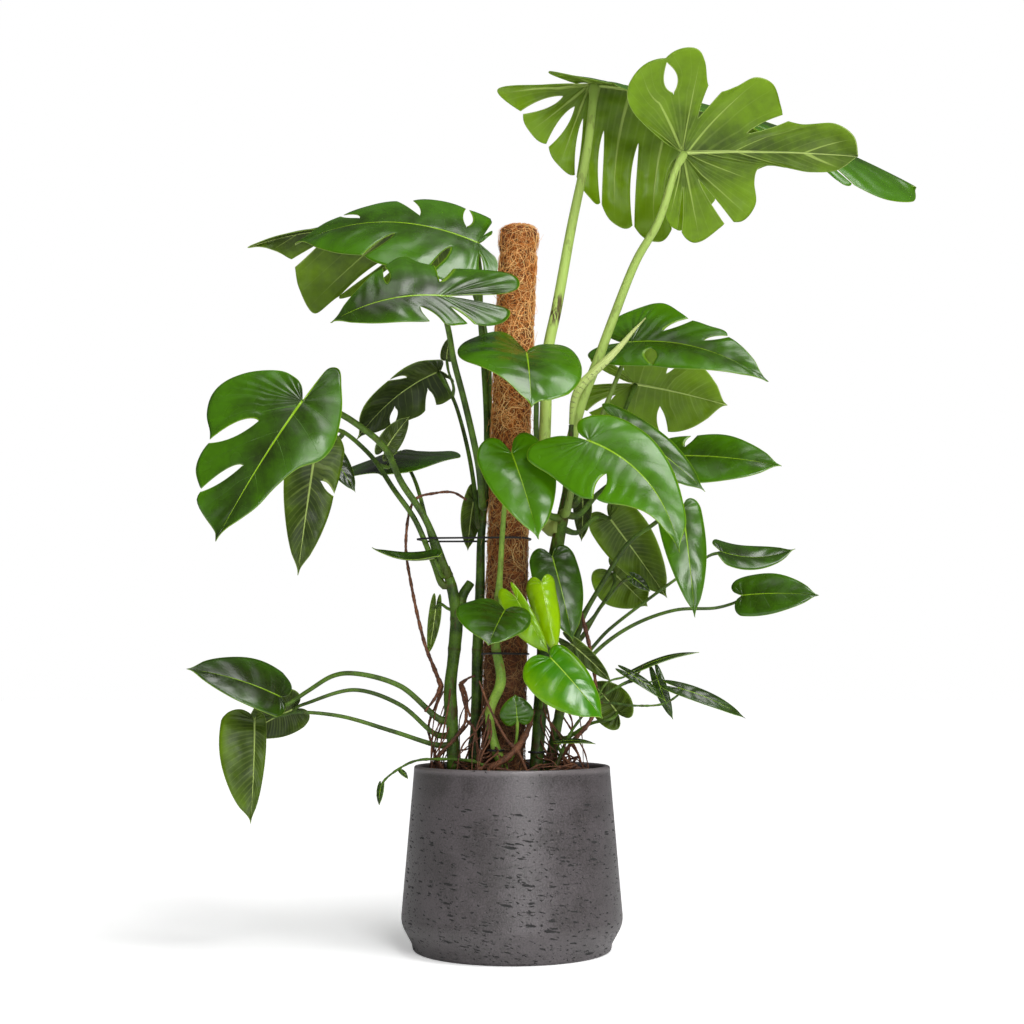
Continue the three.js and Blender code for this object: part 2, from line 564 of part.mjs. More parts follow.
    thick: [3, 4],
  },
  {
    name: 'hanging_right_leaf', on: 'rear_stem', base: [232, 585, -90], tip: [247, 437, -120],
    face: [0, -0.97, 0.2], arch: 0.05, rows: MIDDLE,
    left: [26, 4, -25, { lobe: 0.1 }], right: [37, 4, -25, { lobe: 0.1, taper: 0.3 }],
    stalk: [[215, 580, -34], [190, 562, -14], [160, 540, 4], [120, 480, 18], [90, 425, 26]],
    thick: [2.6, 3.6],
  },
  {
    name: 'dark_right_leaf', on: 'right_stem', base: [132, 573, 70], tip: [210, 463, 80],
    face: [0.1, 0.95, 0.25], arch: 0.05, rows: MIDDLE,
    left: [35, -6, -15, { lobe: 0.14 }], right: [41, -6, -15, { lobe: 0.14 }],
    stalk: [[112, 572, 24], [88, 552, 12]], thick: [2.4, 3.4],
  },
  {
    name: 'round_right_leaf', on: 'rear_stem', base: [138, 497, 120], tip: [183, 452, 126],
    face: [0.1, 0.97, 0.1], left: [41, -5, -15, { lobe: 0.35 }], right: [37, -5, -15, { lobe: 0.35 }],
    stalk: [[136, 476, 68], [116, 446, 58], [92, 408, 42]], thick: [2.2, 3],
  },
  {
    name: 'tiny_right_leaf', on: 'rear_stem', base: [164, 491, 20], tip: [187, 472, 22],
    face: [0.2, -0.95, 0.2], left: [9, 0, -10], right: [9, 0, -10],
    stalk: [[150, 486, 20], [126, 458, 22], [98, 426, 26]], thick: [1.6, 2],
  },
  {
    name: 'dark_centre_leaf', on: 'right_stem', base: [55, 518, -34], tip: [82, 405, -50],
    face: [0.1, -0.97, 0.2], arch: 0.06, rows: MIDDLE,
    left: [32, 6, -25, { lobe: 0.14 }], right: [34, 10, -25, { lobe: 0.14 }],
    stalk: [[54, 502, -24], [54, 484, -10]], thick: [2.4, 3.2],
  },
  {
    name: 'dark_rear_leaf', on: 'right_stem', base: [96, 602, 46], tip: [94, 540, 50],
    face: [0.3, 0.9, 0.2], left: [14, 0, -15], right: [14, 0, -15],
    stalk: [[92, 606, 34], [84, 596, 18]], thick: [1.8, 2.4],
  },
  {
    name: 'fresh_curled_leaf', on: 'right_stem', base: [40, 484, -76], tip: [59, 386, -86],
    face: [-0.1, -0.95, 0.3], arch: 0.05, rows: MIDDLE,
    left: [26, -10, -70, { lobe: 0.12, taper: 0.3 }], right: [30, -10, -60, { lobe: 0.12, taper: 0.3 }],
    fresh: true,
    stalk: [[42, 470, -64], [46, 444, -63], [48, 418, -54], [46, 398, -28]], thick: [1.8, 2.4],
  },
  {
    name: 'fresh_rear_leaf', on: 'front_stem', base: [7, 461, -84], tip: [50, 388, -90],
    face: [-0.3, -0.85, 0.4], left: [10, 10, -20], right: [26, 0, -20], fresh: true,
    stalk: [[0, 452, -70], [-12, 426, -56]], thick: [1.6, 2.2],
  },
  {
    name: 'fresh_heart_leaf', on: 'right_stem', base: [52, 383, -110], tip: [122, 301, -128],
    face: [0.05, -0.95, 0.3], arch: 0.06, rows: MIDDLE, cell: 0.14,
    left: [27, 6, -25, { lobe: 0.1 }], right: [48, 6, -25, { lobe: 0.16 }], fresh: true,
    stalk: [[48, 364, -88], [42, 340, -58], [38, 318, -28]], thick: [2.2, 3],
  },
  {
    name: 'dark_front_leaf', on: 'front_stem', base: [-10, 446, -114], tip: [-32, 399, -156],
    face: [0, -0.8, 0.6], arch: 0.06, rows: MIDDLE,
    left: [38, 8, -25, { lobe: 0.26 }], right: [60, 4, -20, { lobe: 0.26 }],
    stalk: [[-14, 430, -92], [-20, 412, -62]], thick: [2, 2.8],
  },
  {
    name: 'small_round_leaf', on: 'front_stem', base: [7, 302, -78], tip: [4, 334, -82],
    face: [0, -0.95, 0.3], left: [22, 4, -20], right: [22, 4, -20],
    stalk: [[7, 286, -69], [4, 264, -60], [-2, 248, -54]], thick: [1.6, 2.2],
  },
  {
    name: 'low_right_leaf', on: 'rear_stem', base: [142, 309, 0], tip: [106, 352, 10],
    face: [0, 0.9, 0.4], left: [30, -5, -15], right: [28, -5, -15],
    stalk: [[134, 302, -12], [105, 295, -2], [72, 276, 18]], thick: [2, 2.6],
  },
  {
    name: 'far_right_curled_leaf', on: 'rear_stem', base: [284, 526, 90], tip: [384, 530, 110],
    face: [0, -0.5, 0.85], arch: -0.1, rows: MIDDLE,
    left: [31, 20, -20, { lobe: 0.1 }], right: [33, 5, -30, { lobe: 0.1 }],
    stalk: [[270, 522, 92], [252, 510, 88], [190, 466, 68], [130, 420, 50], [90, 380, 36]], thick: [1.8, 2.6],
  },
  {
    name: 'far_right_leaf', on: 'rear_stem', base: [312, 467, -50], tip: [415, 467, -90],
    face: [0, -0.94, 0.35], arch: 0.06, rows: MIDDLE,
    left: [33, 6, -30, { lobe: 0.18 }], right: [31, 6, -20, { lobe: 0.1 }],
    stalk: [[298, 456, 14], [275, 450, 16], [220, 447, 20], [160, 425, 24], [112, 390, 26], [82, 350, 28]],
    thick: [1.8, 3],
  },
  {
    name: 'curled_left_leaf', on: 'left_stem', base: [-104, 518, -32], tip: [-190, 532, -36],
    face: [0, -0.5, 0.86], arch: -0.12, left: [18, 20, 20, { lobe: 0.1 }], right: [18, 10, 10, { lobe: 0.1 }],
    stalk: [[-100, 506, -24], [-93, 492, -8]], thick: [1.8, 2.2],
  },
  {
    name: 'olive_leaf', on: 'left_stem', base: [-103, 450, 16], tip: [-113, 386, 18],
    face: [0.2, 0.95, 0], left: [9, 0, -10], right: [9, 0, -10],
    stalk: [[-98, 456, 12], [-84, 448, 4]], thick: [1.4, 1.8],
  },
  {
    name: 'pole_side_leaf', on: 'climbing_stem', base: [-52, 597, 34], tip: [-60, 527, 42],
    face: [-0.3, 0.9, 0.1], left: [16, 0, -15], right: [16, 0, -15],
    stalk: [[-48, 594, 26], [-43, 578, 18]], thick: [1.8, 2.2],
  },
  {
    name: 'low_left_leaf', on: 'left_stem', base: [-312, 331, -70], tip: [-438, 368, -110],
    face: [0.1, -0.72, 0.7], arch: 0.06, rows: MIDDLE,
    left: [35, 4, -20, { lobe: 0.08 }], right: [47, 4, -10, { lobe: 0.12 }],
    stalk: [[-303, 320, -12], [-275, 338, -8], [-240, 359, -10], [-212, 362, -12], [-150, 345, -6], [-95, 300, 0]],
    thick: [2.4, 4],
  },
  {
    name: 'low_left_round_leaf', on: 'left_stem', base: [-292, 315, 60], tip: [-360, 279, 50],
    face: [-0.2, 0.9, 0.35], left: [39, -5, -15, { lobe: 0.2 }], right: [31, -5, -15, { lobe: 0.2 }],
    stalk: [[-276, 322, -6], [-212, 340, 4], [-150, 320, 8], [-100, 280, 6]],
    thick: [2, 3.4],
  },
  {
    name: 'low_left_hanging_leaf', on: 'left_stem', base: [-345, 300, -34], tip: [-348, 163, -50],
    face: [0.3, -0.93, 0.2], arch: 0.05, rows: MIDDLE,
    left: [16, 10, -30, { lobe: 0.08 }], right: [46, 6, -20, { lobe: 0.1 }],
    stalk: [[-335, 302, -16], [-308, 306, -19], [-290, 310, -24], [-230, 305, -18], [-160, 285, -8], [-96, 266, 0]],
    thick: [2, 3.4],
  },
];

// Stems: feet stand in the soil at [across, depth, radius], and limbs are [points, radii]
const STEMS = {
  left_stem: {
    colour: 'stem', feet: [[-78, 4, 10]],
    limbs: [
      [[[-78, 236, 4], [-80, 290, 2], [-83, 340, 0], [-78, 390, 0], [-75, 440, 0], [-82, 480, 0], [-90, 505, 0]],
        [9, 8, 9, 8, 9, 8, 6]],
      [[[-74, 440, 0], [-66, 468, 6], [-56, 484, 10]], [8, 7, 6]],
    ],
  },
  climbing_stem: {
    colour: 'stem', feet: [[-52, 26, 9]],
    limbs: [
      [[[-52, 236, 26], [-48, 300, 24], [-46, 400, 22], [-43, 480, 20], [-42, 540, 18], [-38, 590, 14]],
        [8, 7.5, 8, 7, 6, 5]],
    ],
  },
  front_stem: {
    colour: 'paleStem', feet: [[-12, -50, 8]],
    limbs: [
      [[[-12, 236, -50], [-24, 270, -50], [-30, 310, -49], [-15, 352, -49], [-22, 400, -49], [-20, 440, -49],
        [-19, 466, -50]], [7, 6, 6, 7, 6, 5.5, 3.4]],
    ],
  },
  right_stem: {
    colour: 'stem', feet: [[32, -12, 10]],
    limbs: [
      [[[32, 236, -12], [37, 300, -10], [44, 400, -6], [54, 490, -3], [64, 550, 0], [76, 612, 2], [80, 650, -4]],
        [9, 9, 10, 9, 10, 8, 6]],
      [[[76, 600, 0], [79, 640, -16], [81, 700, -28]], [4, 4, 3.4]],
    ],
  },
  rear_stem: {
    colour: 'stem', feet: [[50, 34, 9]],
    limbs: [
      [[[50, 236, 34], [60, 290, 32], [70, 340, 30], [78, 385, 30], [94, 430, 27]], [8, 7, 6, 5, 4]],
    ],
  },
};

// Two thin runners that carry narrow leaves of their own: limbs, then leaves fused to them
const RUNNERS = {
  leafy_runner: {
    feet: [[58, -40, 4]],
    limbs: [
      [[[58, 236, -40], [78, 282, -38], [112, 324, -34], [138, 342, -30], [168, 360, -26], [177, 374, -24]],
        [3, 2, 1.8, 1.6, 1.5, 1.4]],
      [[[112, 324, -34], [128, 350, -32], [150, 357, -30], [160, 361, -28]], [1.8, 1.5, 1.4, 1.4]],
      [[[112, 324, -34], [140, 322, -40], [165, 319, -44], [205, 322, -40], [232, 340, -34]],
        [1.8, 1.6, 1.5, 1.4, 1.4]],
      [[[138, 342, -30], [165, 352, -22], [184, 350, -18], [197, 355, -16]], [1.6, 1.4, 1.3, 1.3]],
      [[[112, 324, -34], [96, 362, -26], [84, 398, -20]], [1.8, 1.6, 1.4]],
      [[[66, 256, -39], [62, 266, -44], [70, 273, -46]], [2, 1.6, 1.4]],
    ],
    leaves: [
      { base: [176, 371, -24], tip: [252, 390, -20], face: [-0.2, -0.5, 0.85], left: [7, 0, -10], right: [7, 0, -10] },
      { base: [157, 362, -28], tip: [206, 325, -34], face: [0.3, -0.8, 0.5], left: [8, 0, -10], right: [8, 0, -10] },
      { base: [195, 357, -16], tip: [216, 300, -14], face: [-0.3, -0.9, 0.1], left: [9, 0, -10], right: [9, 0, -10] },
      { base: [229, 341, -34], tip: [313, 302, -36], face: [0.2, -0.8, 0.6], left: [12, 0, -10], right: [12, 0, -10] },
      { base: [82, 400, -20], tip: [134, 350, -22], face: [0.1, 0.9, 0.4], left: [13, 0, -10], right: [12, 0, -10] },
      { base: [68, 272, -46], tip: [112, 268, -50], face: [0, -0.5, 0.86], left: [6, 0, -10], right: [6, 0, -10] },
    ],
  },
  rim_runner: {
    feet: [[-30, -66, 4]],
    limbs: [
      [[[-30, 236, -66], [-52, 245, -64], [-95, 248, -60], [-128, 246, -58], [-150, 236, -58], [-172, 218, -58],
        [-176, 206, -58]], [2.6, 2.4, 2, 1.8, 1.6, 1.5, 1.4]],
      [[[-150, 236, -58], [-146, 229, -61]], [1.6, 1.4]],
    ],
    leaves: [
      { base: [-148, 232, -59], tip: [-139, 222, -66], face: [0, -0.6, 0.8], left: [4, 0, 0], right: [4, 0, 0] },
      { base: [-175, 212, -58], tip: [-177, 187, -60], face: [-0.3, -0.9, 0.2], left: [5, 0, 0], right: [5, 0, 0] },
    ],
  },
};

// Wiry aerial roots: each set leaves one knot on a stem and runs to the air and into the soil
const ROOTS = {
  left_roots: { feet: [[-98, 10, 2.4]], limbs: [
    [[[-95, 345, 0], [-106, 372, 4], [-117, 400, 6], [-136, 480, 12], [-144, 540, 14], [-132, 597, 16],
      [-105, 606, 14], [-80, 607, 8], [-62, 597, 4]], [3.4, 2.4, 2.4, 2.2, 2, 2, 2, 1.8, 1.6]],
    [[[-95, 345, 0], [-104, 328, -12], [-117, 311, -18]], [3.4, 2, 1.4]],
    [[[-95, 345, 0], [-98, 330, 10], [-112, 290, 16], [-104, 258, 14], [-98, 236, 10]], [3.4, 2, 2, 2, 2]],
  ] },
  centre_roots: { feet: [[-43.5, -34, 2.4]], limbs: [
    [[[-69, 348, -6], [-62, 335, -14], [-60, 318, -18], [-56, 304, -20]], [3, 2, 1.8, 1.4]],
    [[[-69, 348, -6], [-58, 356, -12], [-50, 359, -16]], [3, 1.8, 1.4]],
    [[[-69, 348, -6], [-62, 300, -24], [-78, 274, -30], [-98, 250, -34], [-92, 232, -34]], [3, 2, 2.2, 2.4, 2.4]],
    [[[-62, 300, -24], [-52, 290, -30], [-46, 262, -34], [-44, 236, -34]], [2, 2, 2, 2]],
  ] },
  thick_front_root: { feet: [[-29, -84, 3.8]], limbs: [
    [[[-30, 236, -84], [-12, 246, -82], [6, 262, -76], [20, 284, -62], [25, 300, -50], [28, 312, -38]],
      [3.6, 4.4, 4.6, 4.2, 3.6, 3]],
    [[[6, 262, -76], [-4, 270, -74], [-22, 300, -70], [-36, 330, -66], [-44, 352, -60]], [3, 1.8, 1.6, 1.5, 1.2]],
    [[[6, 262, -76], [14, 246, -84], [20, 232, -88]], [3, 1.8, 1.6]],
  ] },
  right_roots: { feet: [[60, -10, 2.6]], limbs: [
    [[[92, 448, 10], [97, 430, 6], [103, 405, 2], [108, 380, 0], [112, 350, -4], [112, 315, -12],
      [100, 292, -16], [80, 270, -14], [66, 250, -12], [60, 236, -10]], [2, 3, 2.6, 2.6, 2.4, 2.4, 2.8, 3, 2.6, 2.4]],
    [[[80, 270, -14], [88, 256, -18], [92, 244, -20]], [2.4, 1.8, 1.4]],
    [[[66, 252, -12], [80, 242, -18], [96, 233, -22]], [2.2, 1.6, 1.4]],
  ] },
};

// Ties: a cord pulled tight round circles [across, depth, radius] at one height
const TIES = {
  upper_tie: { height: 543, round: [[-5, 0, 28.5], [-106, -12, 6], [-121, 0, 5.4], [-110, 27, 5.6]] },
  middle_tie: { height: 388, round: [[-9, 0, 29.5], [-21, -50, 7]] },
  lower_left_tie: { height: 262, round: [[-21, -50, 8.4]] },
  lower_right_tie: { height: 258, round: [[33.3, -11.6, 9.3]] },
};
const TIE_RADIUS = 1.4;

function buildPot() {
  const rimInner = POT_RIM_RADIUS - POT_WALL;
  const bellyInner = POT_BELLY_RADIUS - POT_WALL - 3;
  const profile = [
    [0, 0], [POT_FOOT_RADIUS - 2, 0], [POT_FOOT_RADIUS, 3], [POT_FOOT_RADIUS + 1, 8],
    [POT_BELLY_RADIUS - 1.5, POT_BELLY_HEIGHT - 8], [POT_BELLY_RADIUS, POT_BELLY_HEIGHT],
    [POT_RIM_RADIUS + 0.4, POT_HEIGHT - 5], [POT_RIM_RADIUS - 2, POT_HEIGHT],
    [rimInner + 2, POT_HEIGHT], [rimInner, POT_HEIGHT - 4], [bellyInner, POT_BELLY_HEIGHT], [0, POT_FLOOR],
  ];
  add('pot', lathe(profile, POT_SIDES), finish('cement', 0.85));
}

function lathe(profile, sides) {
  const points = profile.map(([radius, height]) => new THREE.Vector2(radius, height));
  return new THREE.LatheGeometry(points, sides).rotateX(Math.PI / 2);
}

function soilRadius(height) {
  const share = (height - POT_BELLY_HEIGHT) / (POT_HEIGHT - 4 - POT_BELLY_HEIGHT);
  const low = POT_BELLY_RADIUS - POT_WALL - 3;
  return low + (POT_RIM_RADIUS - POT_WALL - low) * share - 0.8;
}

function upright(x, y, radius, low, high, sides = 8) {
  return new THREE.CylinderGeometry(radius, radius, high - low, sides)
    .rotateX(Math.PI / 2)
    .translate(x, y, (low + high) / 2);
}

function buildSoil(holes) {
  const profile = [
    [0, POT_FLOOR + 1], [soilRadius(POT_BELLY_HEIGHT) - 1, POT_BELLY_HEIGHT + 1],
    [soilRadius(SOIL_TOP), SOIL_TOP], [0, SOIL_TOP],
  ];
  const cuts = holes.map((hole) => solid(hole));
  const body = cuts.reduce((rest, cut) => rest.subtract(cut), solid(lathe(profile, POT_SIDES)));
  add('soil', surface(body), finish('soil', 0.95));
}

function polePath(low, high) {
  const line = POLE_LINE.map(([x, z]) => new THREE.Vector3(x, 0, z));
  const slope = (line[1].x - line[0].x) / (line[1].z - line[0].z);
  const start = new THREE.Vector3(line[0].x + slope * (low - line[0].z), 0, low);
  const inside = line.filter((point) => point.z > low + 20 && point.z < high - 20);
  const top = line.at(-1).clone();
  top.z = high;
  return [start, ...inside, top];
}

function buildPole() {
  const bottom = SOIL_TOP - 30;
  const top = POLE_LINE.at(-1)[1];
  const outside = stalk(polePath(bottom, top), [POLE_RADIUS_LOW, POLE_RADIUS_LOW, POLE_RADIUS_HIGH,
    POLE_RADIUS_HIGH, POLE_RADIUS_HIGH - 1], POLE_SIDES, 70);
  const tuft = new THREE.SphereGeometry(POLE_RADIUS_HIGH - 2, 12, 6).scale(1, 1, 0.45)
    .translate(POLE_LINE.at(-1)[0], 0, top - 1);
  const bore = stalk(polePath(bottom - 5, top - 12), [STAKE_RADIUS + 1], 12, STAKE_STEP);
  add('coir_wrap', surface(join([outside, tuft]).subtract(solid(bore))), finish('coir', 0.95));
  const stake = stalk(polePath(SOIL_TOP - STAKE_DEPTH, top - 14), [STAKE_RADIUS], 10, STAKE_STEP);
  add('pole_stake', stake, finish('stake', 0.8));
  return [
    stalk(polePath(bottom - 1, top), [POLE_RADIUS_LOW + 1], POLE_SIDES, 70),
    stalk(polePath(SOIL_TOP - STAKE_DEPTH - 1, top - 14), [STAKE_RADIUS + 0.8], 12, STAKE_STEP),
  ];
}

function footPeg([x, y, radius]) {
  return upright(x, y, radius, SOIL_TOP - SOIL_HOLE_DEPTH + 1, SOIL_TOP + 14);
}

function footHole([x, y, radius]) {
  return upright(x, y, (radius + GAP) / Math.cos(Math.PI / 16), SOIL_TOP - SOIL_HOLE_DEPTH, SOIL_TOP + 5, 16);
}

function limb([points, radii], sides, step) {
  return stalk(points.map(at), radii, sides, step);
}

// Points along the middle of a stalk, on the straight runs between its rings
function centreLine(path, step) {
  const curve = new THREE.CatmullRomCurve3(path, false, 'centripetal');
  const rings = curve.getSpacedPoints(ringCount(curve, step));
  return rings.slice(1).flatMap((end, i) => [0, 0.25, 0.5, 0.75].map((f) => rings[i].clone().lerp(end, f)));
}

function nearest(points, from) {
  return points.reduce((best, point) => (point.distanceTo(from) < best.distanceTo(from) ? point : best));
}

// A stem and the stalks of its leaves, each sunk into the middle of what it grows from
function buildStem(name, stem) {
  const parts = [...stem.feet.map(footPeg), ...stem.limbs.map((one) => limb(one, 7, LIMB_STEP))];
  const lines = { [name]: stem.limbs.flatMap(([points]) => centreLine(points.map(at), LIMB_STEP)) };
  for (const leaf of LEAVES.filter((one) => one.on === name)) {
    const path = leaf.stalk.map(at);
    path.unshift(new Blade(leaf).seat(leaf.thick[0], path[0]));
    path.push(nearest(lines[leaf.joins || name], path.at(-1)));
    lines[leaf.name] = centreLine(path, STALK_STEP);
    parts.push(stalk(path, leaf.thick, 5, STALK_STEP));
  }
  add(name, surface(join(parts)), finish(stem.colour));
  return stem.feet.map(footHole);
}

function buildRunner(name, runner) {
  const blades = runner.leaves.map((leaf) => new Blade({ rows: [0, 1], cell: 0.25, thickness: 1.2, ...leaf }).geometry());
  const parts = [...runner.feet.map(footPeg), ...runner.limbs.map((one) => limb(one, 4, 26)), ...blades];
  add(name, surface(join(parts)), finish('stem'));
  return runner.feet.map(footHole);
}

function buildRoots(name, roots) {
  const parts = [...roots.feet.map(footPeg), ...roots.limbs.map((one) => limb(one, 5, 27))];
  add(name, surface(join(parts)), finish('root', 0.7));
  return roots.feet.map(footHole);
}

// The shortest loop round a set of circles, seen from above
function loopRound(circles) {
  const rim = circles.flatMap(([x, y, radius]) => Array.from({ length: 16 }, (_, k) => {
    const turn = (2 * Math.PI * k) / 16;
    const reach = (radius + TIE_RADIUS + GAP) / Math.cos(Math.PI / 16);
    return new THREE.Vector2(x + reach * Math.cos(turn), y + reach * Math.sin(turn));
  })).sort((a, b) => a.x - b.x || a.y - b.y);
  const chain = (points) => points.reduce((kept, point) => {
    while (kept.length > 1 && kept.at(-1).clone().sub(kept.at(-2)).cross(point.clone().sub(kept.at(-1))) <= 0) {
      kept.pop();
    }
    kept.push(point);
    return kept;
  }, []).slice(0, -1);
  return [...chain(rim), ...chain([...rim].reverse())];
}

function buildTie(name, { height, round }) {
  const loop = loopRound(round);
  const offsets = [[1, 1], [-1, 1], [-1, -1], [1, -1]];
  const points = loop.flatMap((point, i) => {
    const before = loop.at(i - 1);
    const after = loop[(i + 1) % loop.length];
    const ahead = after.clone().sub(before).normalize();
    return offsets.map(([out, up]) => new THREE.Vector3(
      point.x + ahead.y * out * TIE_RADIUS,
      point.y - ahead.x * out * TIE_RADIUS,
      height + up * TIE_RADIUS,
    ));
  });
  const triangles = loop.flatMap((_, i) => offsets.flatMap((__, k) => {
    const [a, b] = [i * 4 + k, i * 4 + ((k + 1) % 4)];
    const [c, d] = [((i + 1) % loop.length) * 4 + ((k + 1) % 4), ((i + 1) % loop.length) * 4 + k];
    return [a, c, b, a, d, c];
  }));
  const geometry = indexed(points, triangles);
  add(name, geometry, finish('tie', 0.5));
}

function buildSpear() {
  const path = [[81.1, 701, -28.3], [86, 735, -38], [95, 755, -46], [110, 771, -50], [130, 790, -52], [150, 811, -53],
    [168, 832, -54], [184, 849, -55]].map(at);
  add('rolled_new_leaf', stalk(path, [3.4, 5, 6, 6, 5.4, 4, 2.4, 0.8], 7, 20), finish('spear', 0.5));
}

buildPot();
const holes = buildPole();
for (const [name, stem] of Object.entries(STEMS)) holes.push(...buildStem(name, stem));
for (const [name, runner] of Object.entries(RUNNERS)) holes.push(...buildRunner(name, runner));
for (const [name, roots] of Object.entries(ROOTS)) holes.push(...buildRoots(name, roots));
buildSoil(holes);
for (const [name, tie] of Object.entries(TIES)) buildTie(name, tie);
buildSpear();
for (const leaf of LEAVES) add(leaf.name, new Blade(leaf).geometry(), finish(leaf.fresh ? 'fresh' : 'blade', 0.35));

export default plant;
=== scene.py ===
# %% [markdown]
# # A potted swiss cheese plant
#
# The real plant is a monstera a little over a metre tall. It climbs a pole wrapped in coconut
# fibre and stands in a dark pot of fibre cement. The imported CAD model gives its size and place,
# and holds every stem and leaf as a coarse solid. This lesson dresses each solid with a finer
# piece of the same form. All lengths are written in millimetres, as a gardener's tape reads
# them, and turned to Blender's metres in one place.

import math
import random

import bpy
import numpy as np
from mathutils import Matrix, Vector


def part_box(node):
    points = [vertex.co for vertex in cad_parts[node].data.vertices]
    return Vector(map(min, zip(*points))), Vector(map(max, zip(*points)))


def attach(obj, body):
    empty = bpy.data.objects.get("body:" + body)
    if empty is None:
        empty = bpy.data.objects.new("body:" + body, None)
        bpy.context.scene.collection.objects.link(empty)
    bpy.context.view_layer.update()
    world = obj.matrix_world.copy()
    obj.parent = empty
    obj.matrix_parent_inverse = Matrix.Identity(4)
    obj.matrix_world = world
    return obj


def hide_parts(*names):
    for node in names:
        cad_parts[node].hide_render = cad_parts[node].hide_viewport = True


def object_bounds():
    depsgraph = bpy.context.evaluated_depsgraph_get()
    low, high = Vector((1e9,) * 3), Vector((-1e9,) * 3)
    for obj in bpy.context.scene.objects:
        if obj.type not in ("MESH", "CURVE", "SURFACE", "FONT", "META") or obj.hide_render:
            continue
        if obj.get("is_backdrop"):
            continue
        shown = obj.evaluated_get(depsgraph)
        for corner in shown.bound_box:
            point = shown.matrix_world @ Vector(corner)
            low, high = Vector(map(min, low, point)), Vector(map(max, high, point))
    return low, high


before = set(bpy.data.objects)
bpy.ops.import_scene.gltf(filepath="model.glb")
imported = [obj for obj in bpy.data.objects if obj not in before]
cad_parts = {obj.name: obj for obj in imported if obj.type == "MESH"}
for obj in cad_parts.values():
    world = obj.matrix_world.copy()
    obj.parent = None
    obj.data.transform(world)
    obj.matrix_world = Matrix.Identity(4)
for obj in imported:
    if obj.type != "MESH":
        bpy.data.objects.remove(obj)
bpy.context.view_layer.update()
MM = 0.001

# %% [markdown]
# ## Where things are
#
# A place on the plant is noted as [across, height, depth], as it is seen from the front:
# across and height are read on the upright plane through the middle of the pot, and depth is
# how far the point lies behind that plane. `at` turns it into a real point. It is the same
# rule that the CAD part uses, so both keep one shape.

# %% Turn a noted place into a point
VIEW_DISTANCE = 2134
VIEW_HEIGHT = 356


def at(place):
    across, height, depth = (*place, 0)[:3]
    spread = (VIEW_DISTANCE + depth) / VIEW_DISTANCE
    return np.array([across * spread, depth, VIEW_HEIGHT + (height - VIEW_HEIGHT) * spread])


print("a point 100 mm behind the pot's middle spreads to", at([100, 600, 100]).round(1))

# %% [markdown]
# ## Working on one piece at a time
#
# Blender's operators act on all that is selected, and the CAD nodes come in selected. So each
# step first selects the one piece it works on. A modifier is added, set up and applied in one
# go, because a finished piece is a plain mesh. `dress` says what a finished piece is: it rides
# on the plant's one body and stands for its CAD nodes.

# %% Helpers for pieces


def cleared():
    """Deselect everything, so that the next operator touches only what it adds."""
    if bpy.context.object and bpy.context.object.mode != "OBJECT":
        bpy.ops.object.mode_set(mode="OBJECT")
    bpy.ops.object.select_all(action="DESELECT")


def only(piece):
    cleared()
    piece.select_set(True)
    bpy.context.view_layer.objects.active = piece
    return piece


def placed(name, data):
    """A new object that shows a mesh, a lamp or a camera."""
    made = bpy.data.objects.new(name, data)
    bpy.context.collection.objects.link(made)
    return made


def worked(piece, kind, **settings):
    """Add a modifier to a piece, set it up and apply it to the mesh."""
    modifier = piece.modifiers.new(kind.lower(), kind)
    for name, value in settings.items():
        setattr(modifier, name, value)
    only(piece)
    bpy.ops.object.modifier_apply(modifier=modifier.name)


def dress(piece, slot, *nodes):
    """Say what a finished piece is, and count its triangles."""
    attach(piece, "root")
    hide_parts(*nodes)
    piece.data.calc_loop_triangles()
    return len(piece.data.loop_triangles)


print("the frame has", len(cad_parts), "nodes to dress")

# %% [markdown]
# ## A short way to write materials
#
# Every finish here is a small net of shader nodes. `Recipe` only saves typing: each of its
# methods adds a node or two, joins what it is given and hands back the output socket. Sizes
# are in millimetres here too, so the coordinates are scaled once, in `place`.

# %% A short way to write materials


def paint(red, green, blue):
    """A colour as a paint card gives it, 0 to 255, turned to the linear values that nodes use."""
    shares = [value / 255 for value in (red, green, blue)]
    return (*[v / 12.92 if v <= 0.04045 else ((v + 0.055) / 1.055) ** 2.4 for v in shares], 1)


